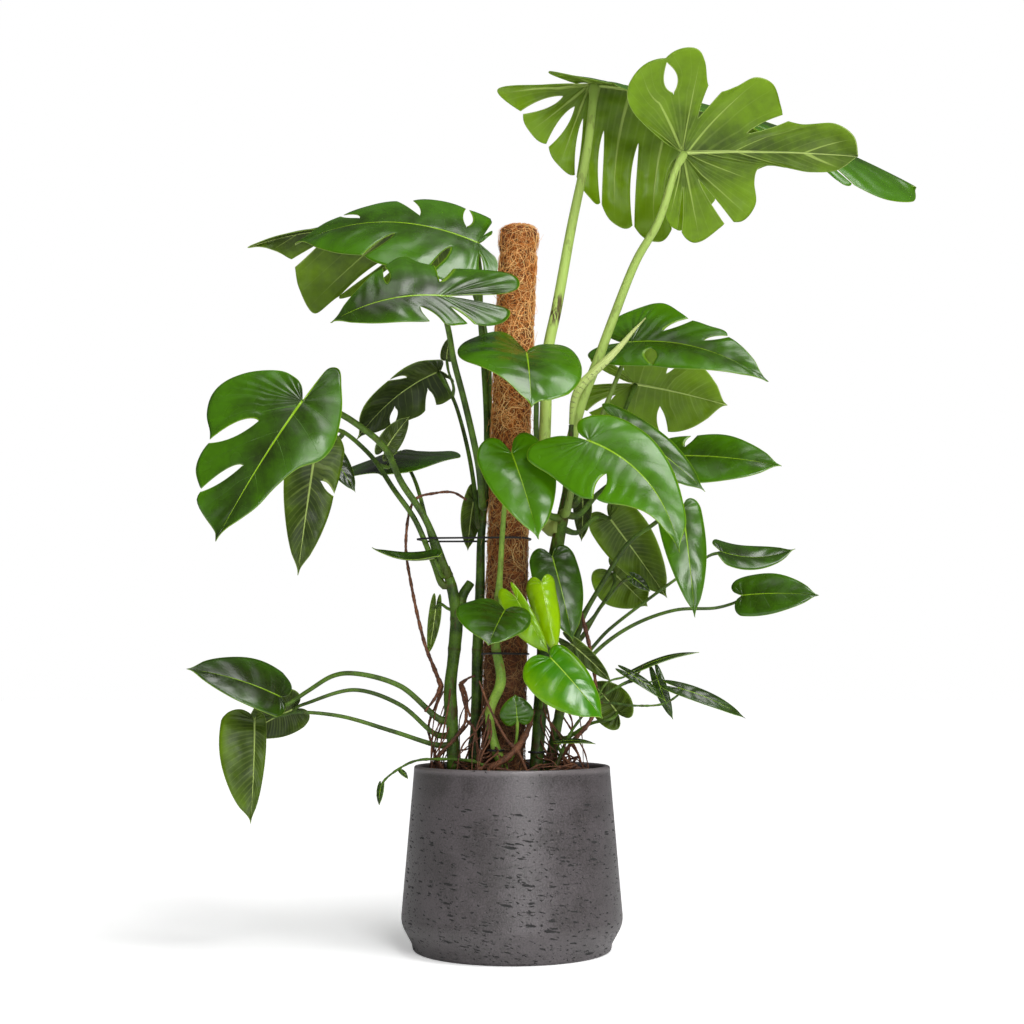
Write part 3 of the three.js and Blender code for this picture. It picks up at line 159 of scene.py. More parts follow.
class Recipe:
    def __init__(self, tree):
        self.tree = tree

    def node(self, kind, **settings):
        node = self.tree.nodes.new("ShaderNode" + kind)
        for name, value in settings.items():
            setattr(node, name, value)
        return node

    def feed(self, socket, value):
        """Wire a value that changes over the surface, or set one that doesn't."""
        if isinstance(value, bpy.types.NodeSocket):
            self.tree.links.new(value, socket)
        else:
            socket.default_value = value

    def maths(self, operation, *values):
        node = self.node("Math", operation=operation)
        for socket, value in zip(node.inputs, values):
            self.feed(socket, value)
        return node.outputs[0]

    def chain(self, operation, values):
        total = values[0]
        for value in values[1:]:
            total = self.maths(operation, total, value)
        return total

    def times(self, *values):
        return self.chain("MULTIPLY", values)

    def plus(self, *values):
        return self.chain("ADD", values)

    def most(self, *values):
        return self.chain("MAXIMUM", values)

    def less(self, value, taken):
        return self.maths("SUBTRACT", value, taken)

    def off_middle(self, value):
        """How far a value's fraction is from a half: 0 at each half, 0.5 at each whole."""
        return self.maths("ABSOLUTE", self.less(self.maths("FRACT", value), 0.5))

    def mix(self, share, low, high):
        node = self.node("Mix", data_type="RGBA")
        for socket, value in zip((node.inputs[0], node.inputs[6], node.inputs[7]), (share, low, high)):
            self.feed(socket, value)
        return node.outputs[2]

    def step(self, value, low, high, start=0.0, end=1.0):
        """start below low, end above high, and a soft slope between."""
        node = self.node("MapRange", interpolation_type="SMOOTHSTEP")
        for socket, number in zip(node.inputs, (value, low, high, start, end)):
            self.feed(socket, number)
        return node.outputs[0]

    def line(self, distance, width):
        """A soft line where a distance is under a width."""
        return self.less(1.0, self.step(distance, self.times(width, 0.5), width))

    def place(self, stretch=(1, 1, 1)):
        """Object coordinates in millimetres, stretched along each axis."""
        node = self.node("Mapping")
        self.feed(node.inputs["Vector"], self.node("TexCoord").outputs["Object"])
        node.inputs["Scale"].default_value = [value / MM for value in stretch]
        return node.outputs[0]

    def noise(self, place, size, detail=2.0, roughness=0.5, output=0):
        """Cloudy noise whose patches are about size millimetres across."""
        node = self.node("TexNoise")
        self.feed(node.inputs["Vector"], place)
        for name, value in (("Scale", 1 / size), ("Detail", detail), ("Roughness", roughness)):
            self.feed(node.inputs[name], value)
        return node.outputs[output]

    def stored(self, name, output="Vector"):
        """What the mesh stores on its points under a name."""
        return self.node("Attribute", attribute_name=name).outputs[output]

    def split(self, vector):
        node = self.node("SeparateXYZ")
        self.feed(node.inputs[0], vector)
        return node.outputs

    def bump(self, height, distance, normal=None):
        """A raised surface: height from 0 to 1 stands distance millimetres proud."""
        node = self.node("Bump")
        node.inputs["Distance"].default_value = distance * MM
        self.feed(node.inputs["Height"], height)
        if normal is not None:
            self.feed(node.inputs["Normal"], normal)
        return node.outputs[0]


print("paint(40, 110, 20) is", [round(v, 3) for v in paint(40, 110, 20)])

# %% [markdown]
# ## Materials and shared effects
#
# A material ends in one shader. What changes over the surface is wired to it, and what is
# the same all over is set on its socket. An effect that several materials need is a node
# group with named sockets, made once and placed in each of them.

# %% Materials, and effects that they share


def material(name):
    made = bpy.data.materials.new(name)
    made.use_nodes = True
    return made, Recipe(made.node_tree)


def finish_of(recipe, colour, roughness, normal=None, **constants):
    """Close a material: what changes over the surface is wired, what doesn't is set on the socket."""
    shader = recipe.tree.nodes["Principled BSDF"]
    recipe.feed(shader.inputs["Base Color"], colour)
    recipe.feed(shader.inputs["Roughness"], roughness)
    if normal is not None:
        recipe.feed(shader.inputs["Normal"], normal)
    for socket, value in constants.items():
        shader.inputs[socket.replace("_", " ")].default_value = value


def group(name, inputs, outputs):
    """An effect that several materials share, with named sockets."""
    tree = bpy.data.node_groups.new(name, "ShaderNodeTree")

    def add(label, way, coloured):
        kind = "NodeSocketColor" if coloured else "NodeSocketFloat"
        return tree.interface.new_socket(label, in_out=way, socket_type=kind)

    for label, value in inputs.items():
        add(label, "INPUT", isinstance(value, tuple)).default_value = value
    for label in outputs:
        add(label, "OUTPUT", label == "Colour")
    given = tree.nodes.new("NodeGroupInput").outputs
    wanted = tree.nodes.new("NodeGroupOutput").inputs
    return tree, Recipe(tree), given, wanted


def use(recipe, tree, **inputs):
    """Place a shared effect in a material with its own values."""
    node = recipe.node("Group", node_tree=tree)
    for label, value in inputs.items():
        recipe.feed(node.inputs[label.replace("_", " ")], value)
    return node.outputs


print("the file has", len(bpy.data.materials), "materials so far")

# %% [markdown]
# ## Weathered colour
#
# Cement, bark, stems and roots are never one colour: they have cloudy patches a few
# centimetres across and finer specks inside them. Two layers of noise give that. The effect is
# a node group, since several finishes use it with their own colours and sizes.

# %% The shared effect of cloudy patches
SPECK_SIZE = 2.2
PATCHES, patch, patch_in, patch_out = group(
    "patches",
    {"Dark": paint(60, 60, 60), "Light": paint(120, 120, 120), "Size": 30.0, "Specks": 0.3},
    ["Colour", "Height"],
)
patch_place = patch.place()
clouds = patch.noise(patch_place, 30.0, 3.0, 0.6)
patch.feed(clouds.node.inputs["Scale"], patch.maths("DIVIDE", 1.0, patch_in["Size"]))
cloud_share = patch.step(clouds, 0.36, 0.64)
speck_share = patch.step(patch.noise(patch_place, SPECK_SIZE, 2.0, 0.6), 0.35, 0.65)
both = patch.plus(patch.times(cloud_share, patch.less(1.0, patch_in["Specks"])),
                  patch.times(speck_share, patch_in["Specks"]))
patch.feed(patch_out["Colour"], patch.mix(both, patch_in["Dark"], patch_in["Light"]))
patch.feed(patch_out["Height"], both)
print("patches gives", [socket.name for socket in patch_out if socket.name])

# %% [markdown]
# ## The pot
#
# The pot is cast fibre cement: a tapered tub with a short chamfer down to a narrower foot and a
# thin, softly rounded rim. Anything round about an upright axis can be spun from its outline,
# as on a potter's wheel, so the outline is drawn once as a line of points and the spin
# operator sweeps it round. The corners of the outline are rounded first, by small arcs.

# %% The pot's outline, spun round
POT_HEIGHT = 240
POT_FOOT_RADIUS = 131
POT_FOOT_BAND = 9
POT_BELLY_RADIUS = 147
POT_BELLY_HEIGHT = 36
POT_RIM_RADIUS = 130.5
POT_RIM_ARC = 3.4
POT_WALL = 8
POT_FLOOR = 18
SOIL_TOP = 228
POT_STEPS = 256
SAME_POINT = 0.00002


def rounded(corners, steps=5):
    """Round a line's corners: each is [radius from the axis, height, size of its arc]."""
    line = []
    for k, (x, z, size) in enumerate(corners):
        here = np.array([x, z], float)
        if not size:
            line.append(here)
            continue
        sides = [np.array(corners[k + turn][:2], float) - here for turn in (-1, 1)]
        lengths = [np.linalg.norm(side) for side in sides]
        start, end = (here + side * min(size, length * 0.45) / length for side, length in zip(sides, lengths))
        for share in np.linspace(0, 1, steps):
            line.append(start * (1 - share) ** 2 + 2 * here * share * (1 - share) + end * share ** 2)
    return line


def spun(name, line, steps=POT_STEPS):
    """Sweep a line of [radius, height] points round the upright axis."""
    cleared()
    mesh = bpy.data.meshes.new(name)
    points = [(x * MM, 0, z * MM) for x, z in line]
    mesh.from_pydata(points, [(k, k + 1) for k in range(len(points) - 1)], [])
    piece = only(placed(name, mesh))
    bpy.ops.object.mode_set(mode="EDIT")
    bpy.ops.mesh.select_all(action="SELECT")
    bpy.ops.mesh.spin(steps=steps, angle=2 * math.pi, center=(0, 0, 0), axis=(0, 0, 1))
    bpy.ops.mesh.select_all(action="SELECT")
    bpy.ops.mesh.remove_doubles(threshold=SAME_POINT)
    bpy.ops.mesh.normals_make_consistent(inside=False)
    bpy.ops.object.mode_set(mode="OBJECT")
    return piece


pot_line = rounded([
    [0, 0, 0],
    [POT_FOOT_RADIUS, 0, 5],
    [POT_FOOT_RADIUS + 1, POT_FOOT_BAND, 4],
    [POT_BELLY_RADIUS, POT_BELLY_HEIGHT, 10],
    [POT_RIM_RADIUS + 0.3, POT_HEIGHT - 7, 3],
    [POT_RIM_RADIUS + 0.2, POT_HEIGHT, POT_RIM_ARC],
    [POT_RIM_RADIUS - POT_WALL, POT_HEIGHT, POT_RIM_ARC],
    [POT_BELLY_RADIUS - POT_WALL - 3, POT_BELLY_HEIGHT, 6],
    [0, POT_FLOOR, 0],
])
pot = spun("pot_tub", pot_line)
bpy.ops.object.shade_smooth_by_angle(angle=math.radians(40))
print("the pot's outline has", len(pot_line), "points and its mesh", len(pot.data.vertices))

# %% [markdown]
# ## Cast cement
#
# The cement is a warm dark grey with a faint sheen, and full of small voids that air left in
# the mould. They are narrow, lie a little slanted across, keep out of the pot's upper fifth and
# gather lower down. Cells of noise, squashed in height, give such scattered slots: a cell is a
# void only where its own random value is low. Two kinds are plump and small, two thin and long.
# The voids are painted near black as painted shade in their hollows,
# made dull and sunk by a bump.

# %% The voids in the cement
VOID_SLANT = 0.5
VOID_SWAY = 14.0
VOIDS_BEGIN = 216.0
VOIDS_CROWD = 150.0
FEWEST = 0.06
# Each kind of void: how flat it is, its cells' size, the share that are open, its reach
VOIDS = [(2.2, 4.2, 0.22, 0.36), (2.2, 7.0, 0.24, 0.32), (4.4, 14.0, 0.3, 0.36), (4.4, 26.0, 0.3, 0.28)]

cement, mix = material("cast_cement")
pot_x, _, pot_height = mix.split(mix.place())
slant = mix.node("CombineXYZ")
mix.feed(slant.inputs["Z"], mix.times(pot_x, VOID_SLANT))
sway = mix.node("VectorMath", operation="SCALE")
mix.feed(sway.inputs[0], mix.noise(mix.place(), 7.0, 4.0, 0.7, output=1))
sway.inputs["Scale"].default_value = VOID_SWAY
low_down = mix.step(pot_height, VOIDS_BEGIN, VOIDS_CROWD)


def squashed(flatness):
    """Places squashed in height, slanted and swayed, for voids that lie across."""
    place = mix.place((1, 1, flatness))
    for offset in (slant.outputs[0], sway.outputs[0]):
        joined = mix.node("VectorMath", operation="ADD")
        mix.feed(joined.inputs[0], place)
        mix.feed(joined.inputs[1], offset)
        place = joined.outputs[0]
    return place


def voids(flatness, size, share, reach):
    """Dark slots: a share of the cells of one size, each open to a part of its reach."""
    cell = mix.node("TexVoronoi")
    mix.feed(cell.inputs["Vector"], squashed(flatness))
    cell.inputs["Scale"].default_value = 1 / size
    number = mix.node("SeparateColor")
    mix.feed(number.inputs[0], cell.outputs["Color"])
    crowd = mix.times(mix.plus(mix.times(low_down, 1 - FEWEST), FEWEST), share)
    chosen = mix.maths("LESS_THAN", number.outputs[0], crowd)
    room = mix.times(mix.plus(number.outputs[1], 0.35), reach)
    return mix.times(chosen, mix.step(cell.outputs["Distance"], room, mix.times(room, 0.6)))


pits = mix.most(*[voids(*kind) for kind in VOIDS])
print("the cement has", len(VOIDS), "kinds of voids")

# %% The pot's finish
RIM_GLEAM = 0.35
GRAIN_SIZE = 1.3
VOID_DEPTH = 2.6

streaks = mix.step(mix.noise(mix.place((1, 1, 3)), 16.0, 4.0, 0.7), 0.62, 0.74)
cloud = use(mix, PATCHES, Dark=paint(42, 36, 36), Light=paint(80, 73, 76), Size=50.0, Specks=0.55)
streaked = mix.mix(mix.times(streaks, 0.3), cloud["Colour"], paint(140, 131, 130))
# Painted highlight: the top of the rim is painted lighter, where it catches the light from above.
painted_rim_highlight = mix.times(mix.step(pot_height, POT_HEIGHT - 9, POT_HEIGHT - 2), RIM_GLEAM)
rimmed = mix.mix(painted_rim_highlight, streaked, paint(150, 142, 144))
dull = mix.plus(mix.step(cloud["Height"], 0.0, 1.0, 0.36, 0.46), mix.times(pits, 0.45))
grain = mix.noise(mix.place(), GRAIN_SIZE, 3.0, 0.7)
relief_of_pot = mix.plus(mix.times(grain, 0.07), mix.less(1.0, pits), mix.times(cloud["Height"], 0.08))
# The near-black of the voids is painted shade in their hollows.
finish_of(mix, mix.mix(pits, rimmed, paint(10, 8, 8)), dull, mix.bump(relief_of_pot, VOID_DEPTH),
          Specular_IOR_Level=0.9)
pot.data.materials.append(cement)
print("the pot has", dress(pot, "cement", "pot"), "triangles")

# %% [markdown]
# ## Potting soil
#
# The pot is filled with dark mix almost to the rim. It is a spun disc with hills of a few
# millimetres pushed up by noise, and on it lie crumbs of bark. A crumb is modelled once, as a
# squashed little ball, and copied with its own turn and size.

# %% Soil
SOIL_HILLS = 8
SOIL_RINGS = 40


def soil_radius(height):
    """The inside of the pot's wall at a height, with a hair of room."""
    share = (height - POT_BELLY_HEIGHT) / (POT_HEIGHT - 4 - POT_BELLY_HEIGHT)
    low = POT_BELLY_RADIUS - POT_WALL - 3
    return low + (POT_RIM_RADIUS - POT_WALL - low) * share - 0.6


soil_edge = soil_radius(SOIL_TOP)
soil_line = [[0, POT_FLOOR + 1], [soil_radius(POT_BELLY_HEIGHT) - 2, POT_BELLY_HEIGHT + 1]]
soil_line += [[soil_edge * share, SOIL_TOP - 1] for share in np.linspace(1, 0, SOIL_RINGS)]
soil = spun("soil_fill", soil_line, 120)
hills = bpy.data.textures.new("hills", "CLOUDS")
hills.noise_scale = 0.018
hills.noise_depth = 3
on_top = [v.index for v in soil.data.vertices
          if v.co.z > (SOIL_TOP - 2) * MM and v.co.xy.length < soil_edge * MM * 0.98]
soil.vertex_groups.new(name="top").add(on_top, 1.0, "REPLACE")
worked(soil, "DISPLACE", texture=hills, texture_coords="LOCAL", direction="Z", strength=SOIL_HILLS * MM,
       mid_level=0.4, vertex_group="top")
bpy.ops.object.shade_smooth()
print("the soil has", len(on_top), "points on its top")

# %% Crumbs of bark
CRUMBS = 260

chance = random.Random(4)
cleared()
bpy.ops.mesh.primitive_ico_sphere_add(subdivisions=1, radius=1)
crumb = bpy.context.object
crumb_points = np.array([v.co for v in crumb.data.vertices])
crumb_faces = [list(face.vertices) for face in crumb.data.polygons]
bpy.data.objects.remove(crumb)
crumb_verts = []
crumb_list = []
for _ in range(CRUMBS):
    turn = chance.uniform(0, 2 * math.pi)
    away = soil_edge * math.sqrt(chance.uniform(0.02, 0.94))
    size = np.array([chance.uniform(2, 6), chance.uniform(1.5, 3.5), chance.uniform(0.8, 2)])
    spin = chance.uniform(0, math.pi)
    lumps = crumb_points * size * np.array([[chance.uniform(0.7, 1.2)] for _ in crumb_points])
    across = lumps[:, 0] * math.cos(spin) - lumps[:, 1] * math.sin(spin)
    along = lumps[:, 0] * math.sin(spin) + lumps[:, 1] * math.cos(spin)
    start = len(crumb_verts)
    x, y, z = away * math.cos(turn), away * math.sin(turn), SOIL_TOP + chance.uniform(0, 2.4)
    crumb_verts += [(x + a, y + b, z + c) for a, b, c in zip(across, along, lumps[:, 2])]
    crumb_list += [[start + k for k in face] for face in crumb_faces]
crumbs_mesh = bpy.data.meshes.new("bark_crumbs")
crumbs_mesh.from_pydata([[value * MM for value in point] for point in crumb_verts], [], crumb_list)
crumbs = placed("bark_crumbs", crumbs_mesh)

bark, mix = material("potting_mix")
bark_cloud = use(mix, PATCHES, Dark=paint(22, 15, 11), Light=paint(84, 60, 42), Size=7.0, Specks=0.5)
finish_of(mix, bark_cloud["Colour"], 0.95, mix.bump(bark_cloud["Height"], 1.5))
for piece in (soil, crumbs):
    piece.data.materials.append(bark)
    print(piece.name, "has", dress(piece, "soil", "soil"), "triangles")

# %% [markdown]
# ## Smooth lines and round stalks
#
# Stems, leaf stalks, roots and fibres are all round rods that bend. Blender could bevel a
# curve, but a rod built ring by ring also knows how far along it each point is, and the
# finishes use that for rings, scars and stripes. The line through the noted points is the
# same kind that the CAD part uses, so the rods lie where its solids do.

# %% Lines through points, and rods along them
LINE_PARTS = 24


def smooth_line(points, step):
    """Evenly spaced places on a smooth line through some points (a centripetal spline)."""
    points = [np.asarray(point, float) for point in points]
    ends = [2 * points[0] - points[1], *points, 2 * points[-1] - points[-2]]
    fine = []
    for a, b, c, d in zip(ends, ends[1:], ends[2:], ends[3:]):
        near, middle, far = (max(np.linalg.norm(q - p), 0.0001) ** 0.5 for p, q in ((a, b), (b, c), (c, d)))
        leave = ((b - a) / near - (c - a) / (near + middle) + (c - b) / middle) * middle
        arrive = ((c - b) / middle - (d - b) / (middle + far) + (d - c) / far) * middle
        for f in np.linspace(0, 1, LINE_PARTS, endpoint=False):
            fine.append(b + leave * f + (3 * (c - b) - 2 * leave - arrive) * f ** 2
                        + (2 * (b - c) + leave + arrive) * f ** 3)
    fine = np.array([*fine, points[-1]])
    walked = np.concatenate([[0], np.cumsum(np.linalg.norm(np.diff(fine, axis=0), axis=1))])
    places = np.linspace(0, walked[-1], max(2, round(walked[-1] / step)) + 1)
    return np.stack([np.interp(places, walked, fine[:, axis]) for axis in range(3)], 1), places


class Body:
    """A mesh that grows piece by piece, with named values on its points."""

    def __init__(self, *names):
        self.points = []
        self.faces = []
        self.slots = []
        self.values = {name: [] for name in names}

    def add(self, points, faces, slot=0, **values):
        start = len(self.points)
        self.points += [list(point) for point in points]
        self.faces += [[start + k for k in face] for face in faces]
        self.slots += [slot] * len(faces)
        for name, list_of in self.values.items():
            list_of += [list(value) for value in values.get(name, [[0, 0, 0]] * len(points))]

    def piece(self, name, *materials, smooth=True):
        mesh = bpy.data.meshes.new(name)
        mesh.from_pydata([[v * MM for v in point] for point in self.points], [], self.faces)
        for one in materials:
            mesh.materials.append(one)
        mesh.polygons.foreach_set("material_index", self.slots)
        mesh.polygons.foreach_set("use_smooth", [smooth] * len(self.faces))
        for label, values in self.values.items():
            layer = mesh.attributes.new(label, "FLOAT_VECTOR", "POINT")
            layer.data.foreach_set("vector", np.array(values, float).ravel())
        mesh.update()
        return placed(name, mesh)


def rod(body, points, radii, sides=12, step=6, slot=0, swell=None, flat=1.0):
    """Add a round rod: radii are spread evenly along it, and swell may change each one."""
    line, places = smooth_line(points, step)
    radius = np.interp(places / places[-1], np.linspace(0, 1, len(radii)), radii)
    if swell:
        radius = radius * np.array([swell(place, places[-1]) for place in places])
    ahead = np.gradient(line, axis=0)
    ahead /= np.linalg.norm(ahead, axis=1, keepdims=True)
    side = np.cross(ahead[0], [0, 0, 1] if abs(ahead[0][2]) < 0.9 else [1, 0, 0])
    rings = []
    values = []
    for centre, forward, r, place in zip(line, ahead, radius, places):
        side = side - forward * np.dot(side, forward)
        side /= np.linalg.norm(side)
        up = np.cross(forward, side)
        for turn in np.linspace(0, 2 * np.pi, sides, endpoint=False):
            rings.append(centre + side * r * math.cos(turn) + up * r * flat * math.sin(turn))
            values.append([place, place / places[-1], turn])
    count = len(line)
    faces = []
    for i in range(0, (count - 1) * sides, sides):
        for k in range(sides):
            after = (k + 1) % sides
            faces.append([i + k, i + after, i + sides + after, i + sides + k])
    faces.append(list(range(sides))[::-1])
    faces.append([(count - 1) * sides + k for k in range(sides)])
    body.add(rings, faces, slot, along=values)
    return line


def planted(body, feet, sides):
    """Short upright rods that carry shoots down into the soil."""
    for x, y, radius in feet:
        line = [[x, y, SOIL_TOP + rise] for rise in (-24, 4, 14)]
        rod(body, line, [radius, radius, radius * 0.8], sides=sides)


def grown(body, limbs, **shape):
    """Rods through noted places, and the line that each of them follows."""
    return [rod(body, [at(point) for point in points], radii, **shape) for points, radii in limbs]


trial_line, _ = smooth_line([[0, 0, 0], [100, 0, 0], [200, 0, 0]], 6)
print("a smooth line of 3 points 100 mm apart has", len(trial_line), "places")

# %% [markdown]
# ## The coir pole
#
# A moss pole is a stake wrapped in coir: a thick felt of coconut fibre, orange-brown where it
# is dry. The wrap is a rod whose skin is roughened by a Displace modifier with cloudy noise.
# At the top the mat's edge is folded over, so it bulges there above a crease. That is done
# after the roughening, by widening the rings near the top.

# %% The coir wrap
POLE_LINE = [[-14, 226], [-11, 300], [-7, 480], [-1, 720], [9.7, 972]]
POLE_RADIUS_LOW = 29
POLE_RADIUS_HIGH = 26.5
POLE_SINK = 30

slope = (POLE_LINE[1][0] - POLE_LINE[0][0]) / (POLE_LINE[1][1] - POLE_LINE[0][1])
foot_height = SOIL_TOP - POLE_SINK
pole_places = [[POLE_LINE[0][0] + slope * (foot_height - POLE_LINE[0][1]), 0, foot_height]]
pole_places += [[x, 0, z] for x, z in POLE_LINE[1:]]
pole_radii = [POLE_RADIUS_LOW] * 2 + [POLE_RADIUS_HIGH] * 2 + [POLE_RADIUS_HIGH - 1]
wrap = Body("along")
pole_middle = rod(wrap, pole_places, [radius - 1.0 for radius in pole_radii], sides=72, step=4)
pole_heights = pole_middle[:, 2]
pole_top = pole_heights[-1]
sleeve = wrap.piece("coir_sleeve")
felt = bpy.data.textures.new("felt", "CLOUDS")
felt.noise_scale = 0.009
felt.noise_depth = 4
worked(sleeve, "DISPLACE", texture=felt, texture_coords="LOCAL", strength=3.4 * MM, mid_level=0.5)


def hump(height, size, below_top, breadth):
    return size * math.exp(-((pole_top - below_top - height) / breadth) ** 2)


def folded(height):
    """The mat's top edge is folded over: it bulges above a crease."""
    return hump(height, 1.8, 14, 11) - hump(height, 2.6, 33, 3.5)


def pole_at(height):
    """The pole's middle and radius at a height."""
    x = np.interp(height, pole_heights, pole_middle[:, 0])
    share = (height - pole_heights[0]) / (pole_top - pole_heights[0])
    return x, np.interp(share, np.linspace(0, 1, len(pole_radii)), pole_radii) + folded(height)


for vertex in sleeve.data.vertices:
    height = vertex.co.z / MM
    middle = pole_at(height)[0] * MM
    wider = 1 + folded(height) / POLE_RADIUS_HIGH
    vertex.co.x = middle + (vertex.co.x - middle) * wider
    vertex.co.y *= wider
print("the wrap has", len(sleeve.data.polygons), "faces and ends at", round(pole_top), "mm")

# %% [markdown]
# ## Loose fibres
#
# What the eye reads as coir is the tangle of single hairs. Thousands are laid over the wrap in
# curves that wander up and round it, and a few curl away. More lie across its top. Each is a
# three-sided thread of a few segments, because a shape repeated that often has to stay light.

# %% Fibres over the wrap
FIBRES = 3600
FIBRE_PARTS = 6
STRAYS = 0.05
THREAD_TURNS = (0, 2.094, 4.189)


def thread(body, line, thick, value):
    """A three-sided thread along a short line of points."""
    line = np.array(line)
    ahead = np.gradient(line, axis=0)
    side = np.cross(ahead, [0.3, 0.2, 1])
    side /= np.linalg.norm(side, axis=1, keepdims=True) + 1e-9
    up = np.cross(ahead, side)
    up /= np.linalg.norm(up, axis=1, keepdims=True) + 1e-9
    width = thick * (1 - 0.6 * np.linspace(0, 1, len(line)))[:, None]
    corners = [line + width * (side * math.cos(turn) + up * math.sin(turn)) for turn in THREAD_TURNS]
    points = np.stack(corners, 1).reshape(-1, 3)
    faces = [[3 * i + k, 3 * i + 3 + k, 3 * i + 3 + (k + 1) % 3, 3 * i + (k + 1) % 3]
             for i in range(len(line) - 1) for k in range(3)]
    faces += [[0, 1, 2], [3 * len(line) - 1, 3 * len(line) - 2, 3 * len(line) - 3]]
    body.add(points, faces, along=[value] * len(points))


def fibre(body, chance):
    """One thread that wanders over the pole's skin, or leaves it."""
    height = chance.uniform(SOIL_TOP + 2, pole_top + 2)
    turn = chance.uniform(0, 2 * math.pi)
    heading = chance.uniform(0, 2 * math.pi)
    length = chance.uniform(16, 60)
    bend = chance.uniform(-1.1, 1.1) * 26 / length
    stray = 9 * length / 46 if chance.random() < STRAYS else 0
    thick = chance.uniform(0.24, 0.42) + 0.35 * chance.random() ** 4
    lift = chance.uniform(-1.4, 0.8)
    line = []
    for k in range(FIBRE_PARTS + 1):
        share = k / FIBRE_PARTS
        middle, radius = pole_at(min(height, pole_top))
        over = lift + 1.1 * math.sin(math.pi * share) + stray * share ** 2
        out = radius + over - 1.2 * max(0, height - pole_top)
        line.append([middle + out * math.cos(turn), out * math.sin(turn), min(height, pole_top + 5)])
        height += math.sin(heading) * length / FIBRE_PARTS
        turn += math.cos(heading) * length / FIBRE_PARTS / radius
        heading += bend + chance.uniform(-0.25, 0.25)
    thread(body, line, thick, [chance.random(), 0, 0])


def top_fibre(body, chance):
    """One thread that lies bowed across the pole's top."""
    turn = chance.uniform(0, 2 * math.pi)
    reach = POLE_RADIUS_HIGH * chance.uniform(0.1, 1.0)
    bow = chance.uniform(-0.8, 0.8)
    line = []
    for share in np.linspace(-1, 1, FIBRE_PARTS + 1):
        x = reach * share * math.cos(turn + bow * share)
        y = reach * share * math.sin(turn + bow * share)
        drop = 6 * (math.hypot(x, y) / POLE_RADIUS_HIGH) ** 4
        line.append([POLE_LINE[-1][0] + x, y, pole_top + 7 - drop + chance.uniform(-4, 1)])
    thread(body, line, chance.uniform(0.24, 0.5), [chance.random(), 0, 0])


chance = random.Random(11)
hairs = Body("along")
for _ in range(FIBRES):
    fibre(hairs, chance)
for _ in range(FIBRES // 7):
    top_fibre(hairs, chance)
fibres = hairs.piece("coir_fibres", smooth=False)
print("the fibres have", len(fibres.data.polygons), "faces")

# %% [markdown]
# ## The tuft on top
#
# The wrap's end is stuffed with loose coir. A low dome, spun like the pot and crumpled by the
# same noise as the wrap, closes the pole under the fibres that cross it.

# %% The tuft
DOME = [[6, -14], [3, -8], [1.5, -3], [3, 1], [7, 4.5], [14, 5], [20, 2], [POLE_RADIUS_HIGH, 1]]

tuft_cap = spun("coir_tuft", [[POLE_RADIUS_HIGH - inward, rise] for inward, rise in DOME], 48)
bpy.ops.object.shade_smooth()
tuft_cap.data.transform(Matrix.Translation((POLE_LINE[-1][0] * MM, 0, (pole_top - 2) * MM)))
worked(tuft_cap, "DISPLACE", texture=felt, texture_coords="LOCAL", strength=5 * MM)
print("the tuft has", len(tuft_cap.data.vertices), "points")

# %% [markdown]
# ## Coir, dry and shaded
#
# The wrap under the fibres is painted a darker rust brown, nearly black in patches: partly its own
# colour, partly painted shade in the gaps between the fibres. The fibres over it run from straw
# to rust, each a little different, which its own stored number decides.
# The lower part of the pole, under the leaves, is painted darker: painted shade of the leaves above.

# %% The coir finishes
LEAF_SHADE_DEPTH = 0.85


def painted_leaf_shade(mix, out_of_shade, in_leaf_shade):
    """A colour that gives way to a darker one, painted shade of the leaves, from near the pole's top down to
    the soil.
    """
    _, _, height = mix.split(mix.place())
    return mix.mix(mix.times(mix.step(height, 760.0, 260.0), LEAF_SHADE_DEPTH), out_of_shade, in_leaf_shade)


felted, mix = material("coir_felt")
# The felt's dark patches are partly its own colour, partly painted shade between the fibres.
felt_cloud = use(mix, PATCHES, Dark=paint(38, 18, 6), Light=paint(176, 98, 36), Size=6.0, Specks=0.5)
finish_of(mix, painted_leaf_shade(mix, felt_cloud["Colour"], paint(44, 24, 13)), 0.95,
          mix.bump(mix.noise(mix.place(), 1.6, 4.0, 0.7), 2.0))

haired, mix = material("coir_fibre")
fibre_number = mix.split(mix.stored("along"))[0]
straw = mix.mix(mix.maths("POWER", fibre_number, 1.5), paint(206, 124, 42), paint(255, 216, 142))
finish_of(mix, painted_leaf_shade(mix, straw, paint(78, 42, 22)), 0.75)

for piece, skin in ((sleeve, felted), (tuft_cap, felted), (fibres, haired)):
    piece.data.materials.append(skin)
    print(piece.name, "has", dress(piece, "coir", "coir_wrap"), "triangles")

# %% [markdown]
# ## The stake
#
# The pole's core is a round wooden stake, seen only by someone who unwraps it. The CAD node
# already has its exact form, so it keeps its place and only gets a wood finish: long streaks,
# made by noise stretched along the height.

# %% The stake's wood
wood, mix = material("stake_wood")
streak = mix.noise(mix.place((1, 1, 0.06)), 2.5, 3.0, 0.6)
finish_of(mix, mix.mix(streak, paint(120, 86, 54), paint(176, 138, 92)), 0.8, mix.bump(streak, 0.4))
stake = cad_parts["pole_stake"]
stake.data.materials.clear()
stake.data.materials.append(wood)
low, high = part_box("pole_stake")
print("the stake stands", round((high - low)[2] / MM), "mm tall")

# %% [markdown]
# ## What a leaf is
#
# A monstera leaf is a leathery heart, arched along its midrib. Old leaves are cut by slits that
# follow the side ribs from near the midrib to the margin, so the blade falls into fingers.
# Each leaf is noted with its base, tip, the way its upper face looks, and two half blades:
# width, fold at the midrib, curl to the margin, and its slits as [place on the margin, inner
# end, outer end, half width]. These are the CAD part's own notes, repeated, so that each fine
# leaf takes the place of its coarse solid. They were chosen leaf by leaf.

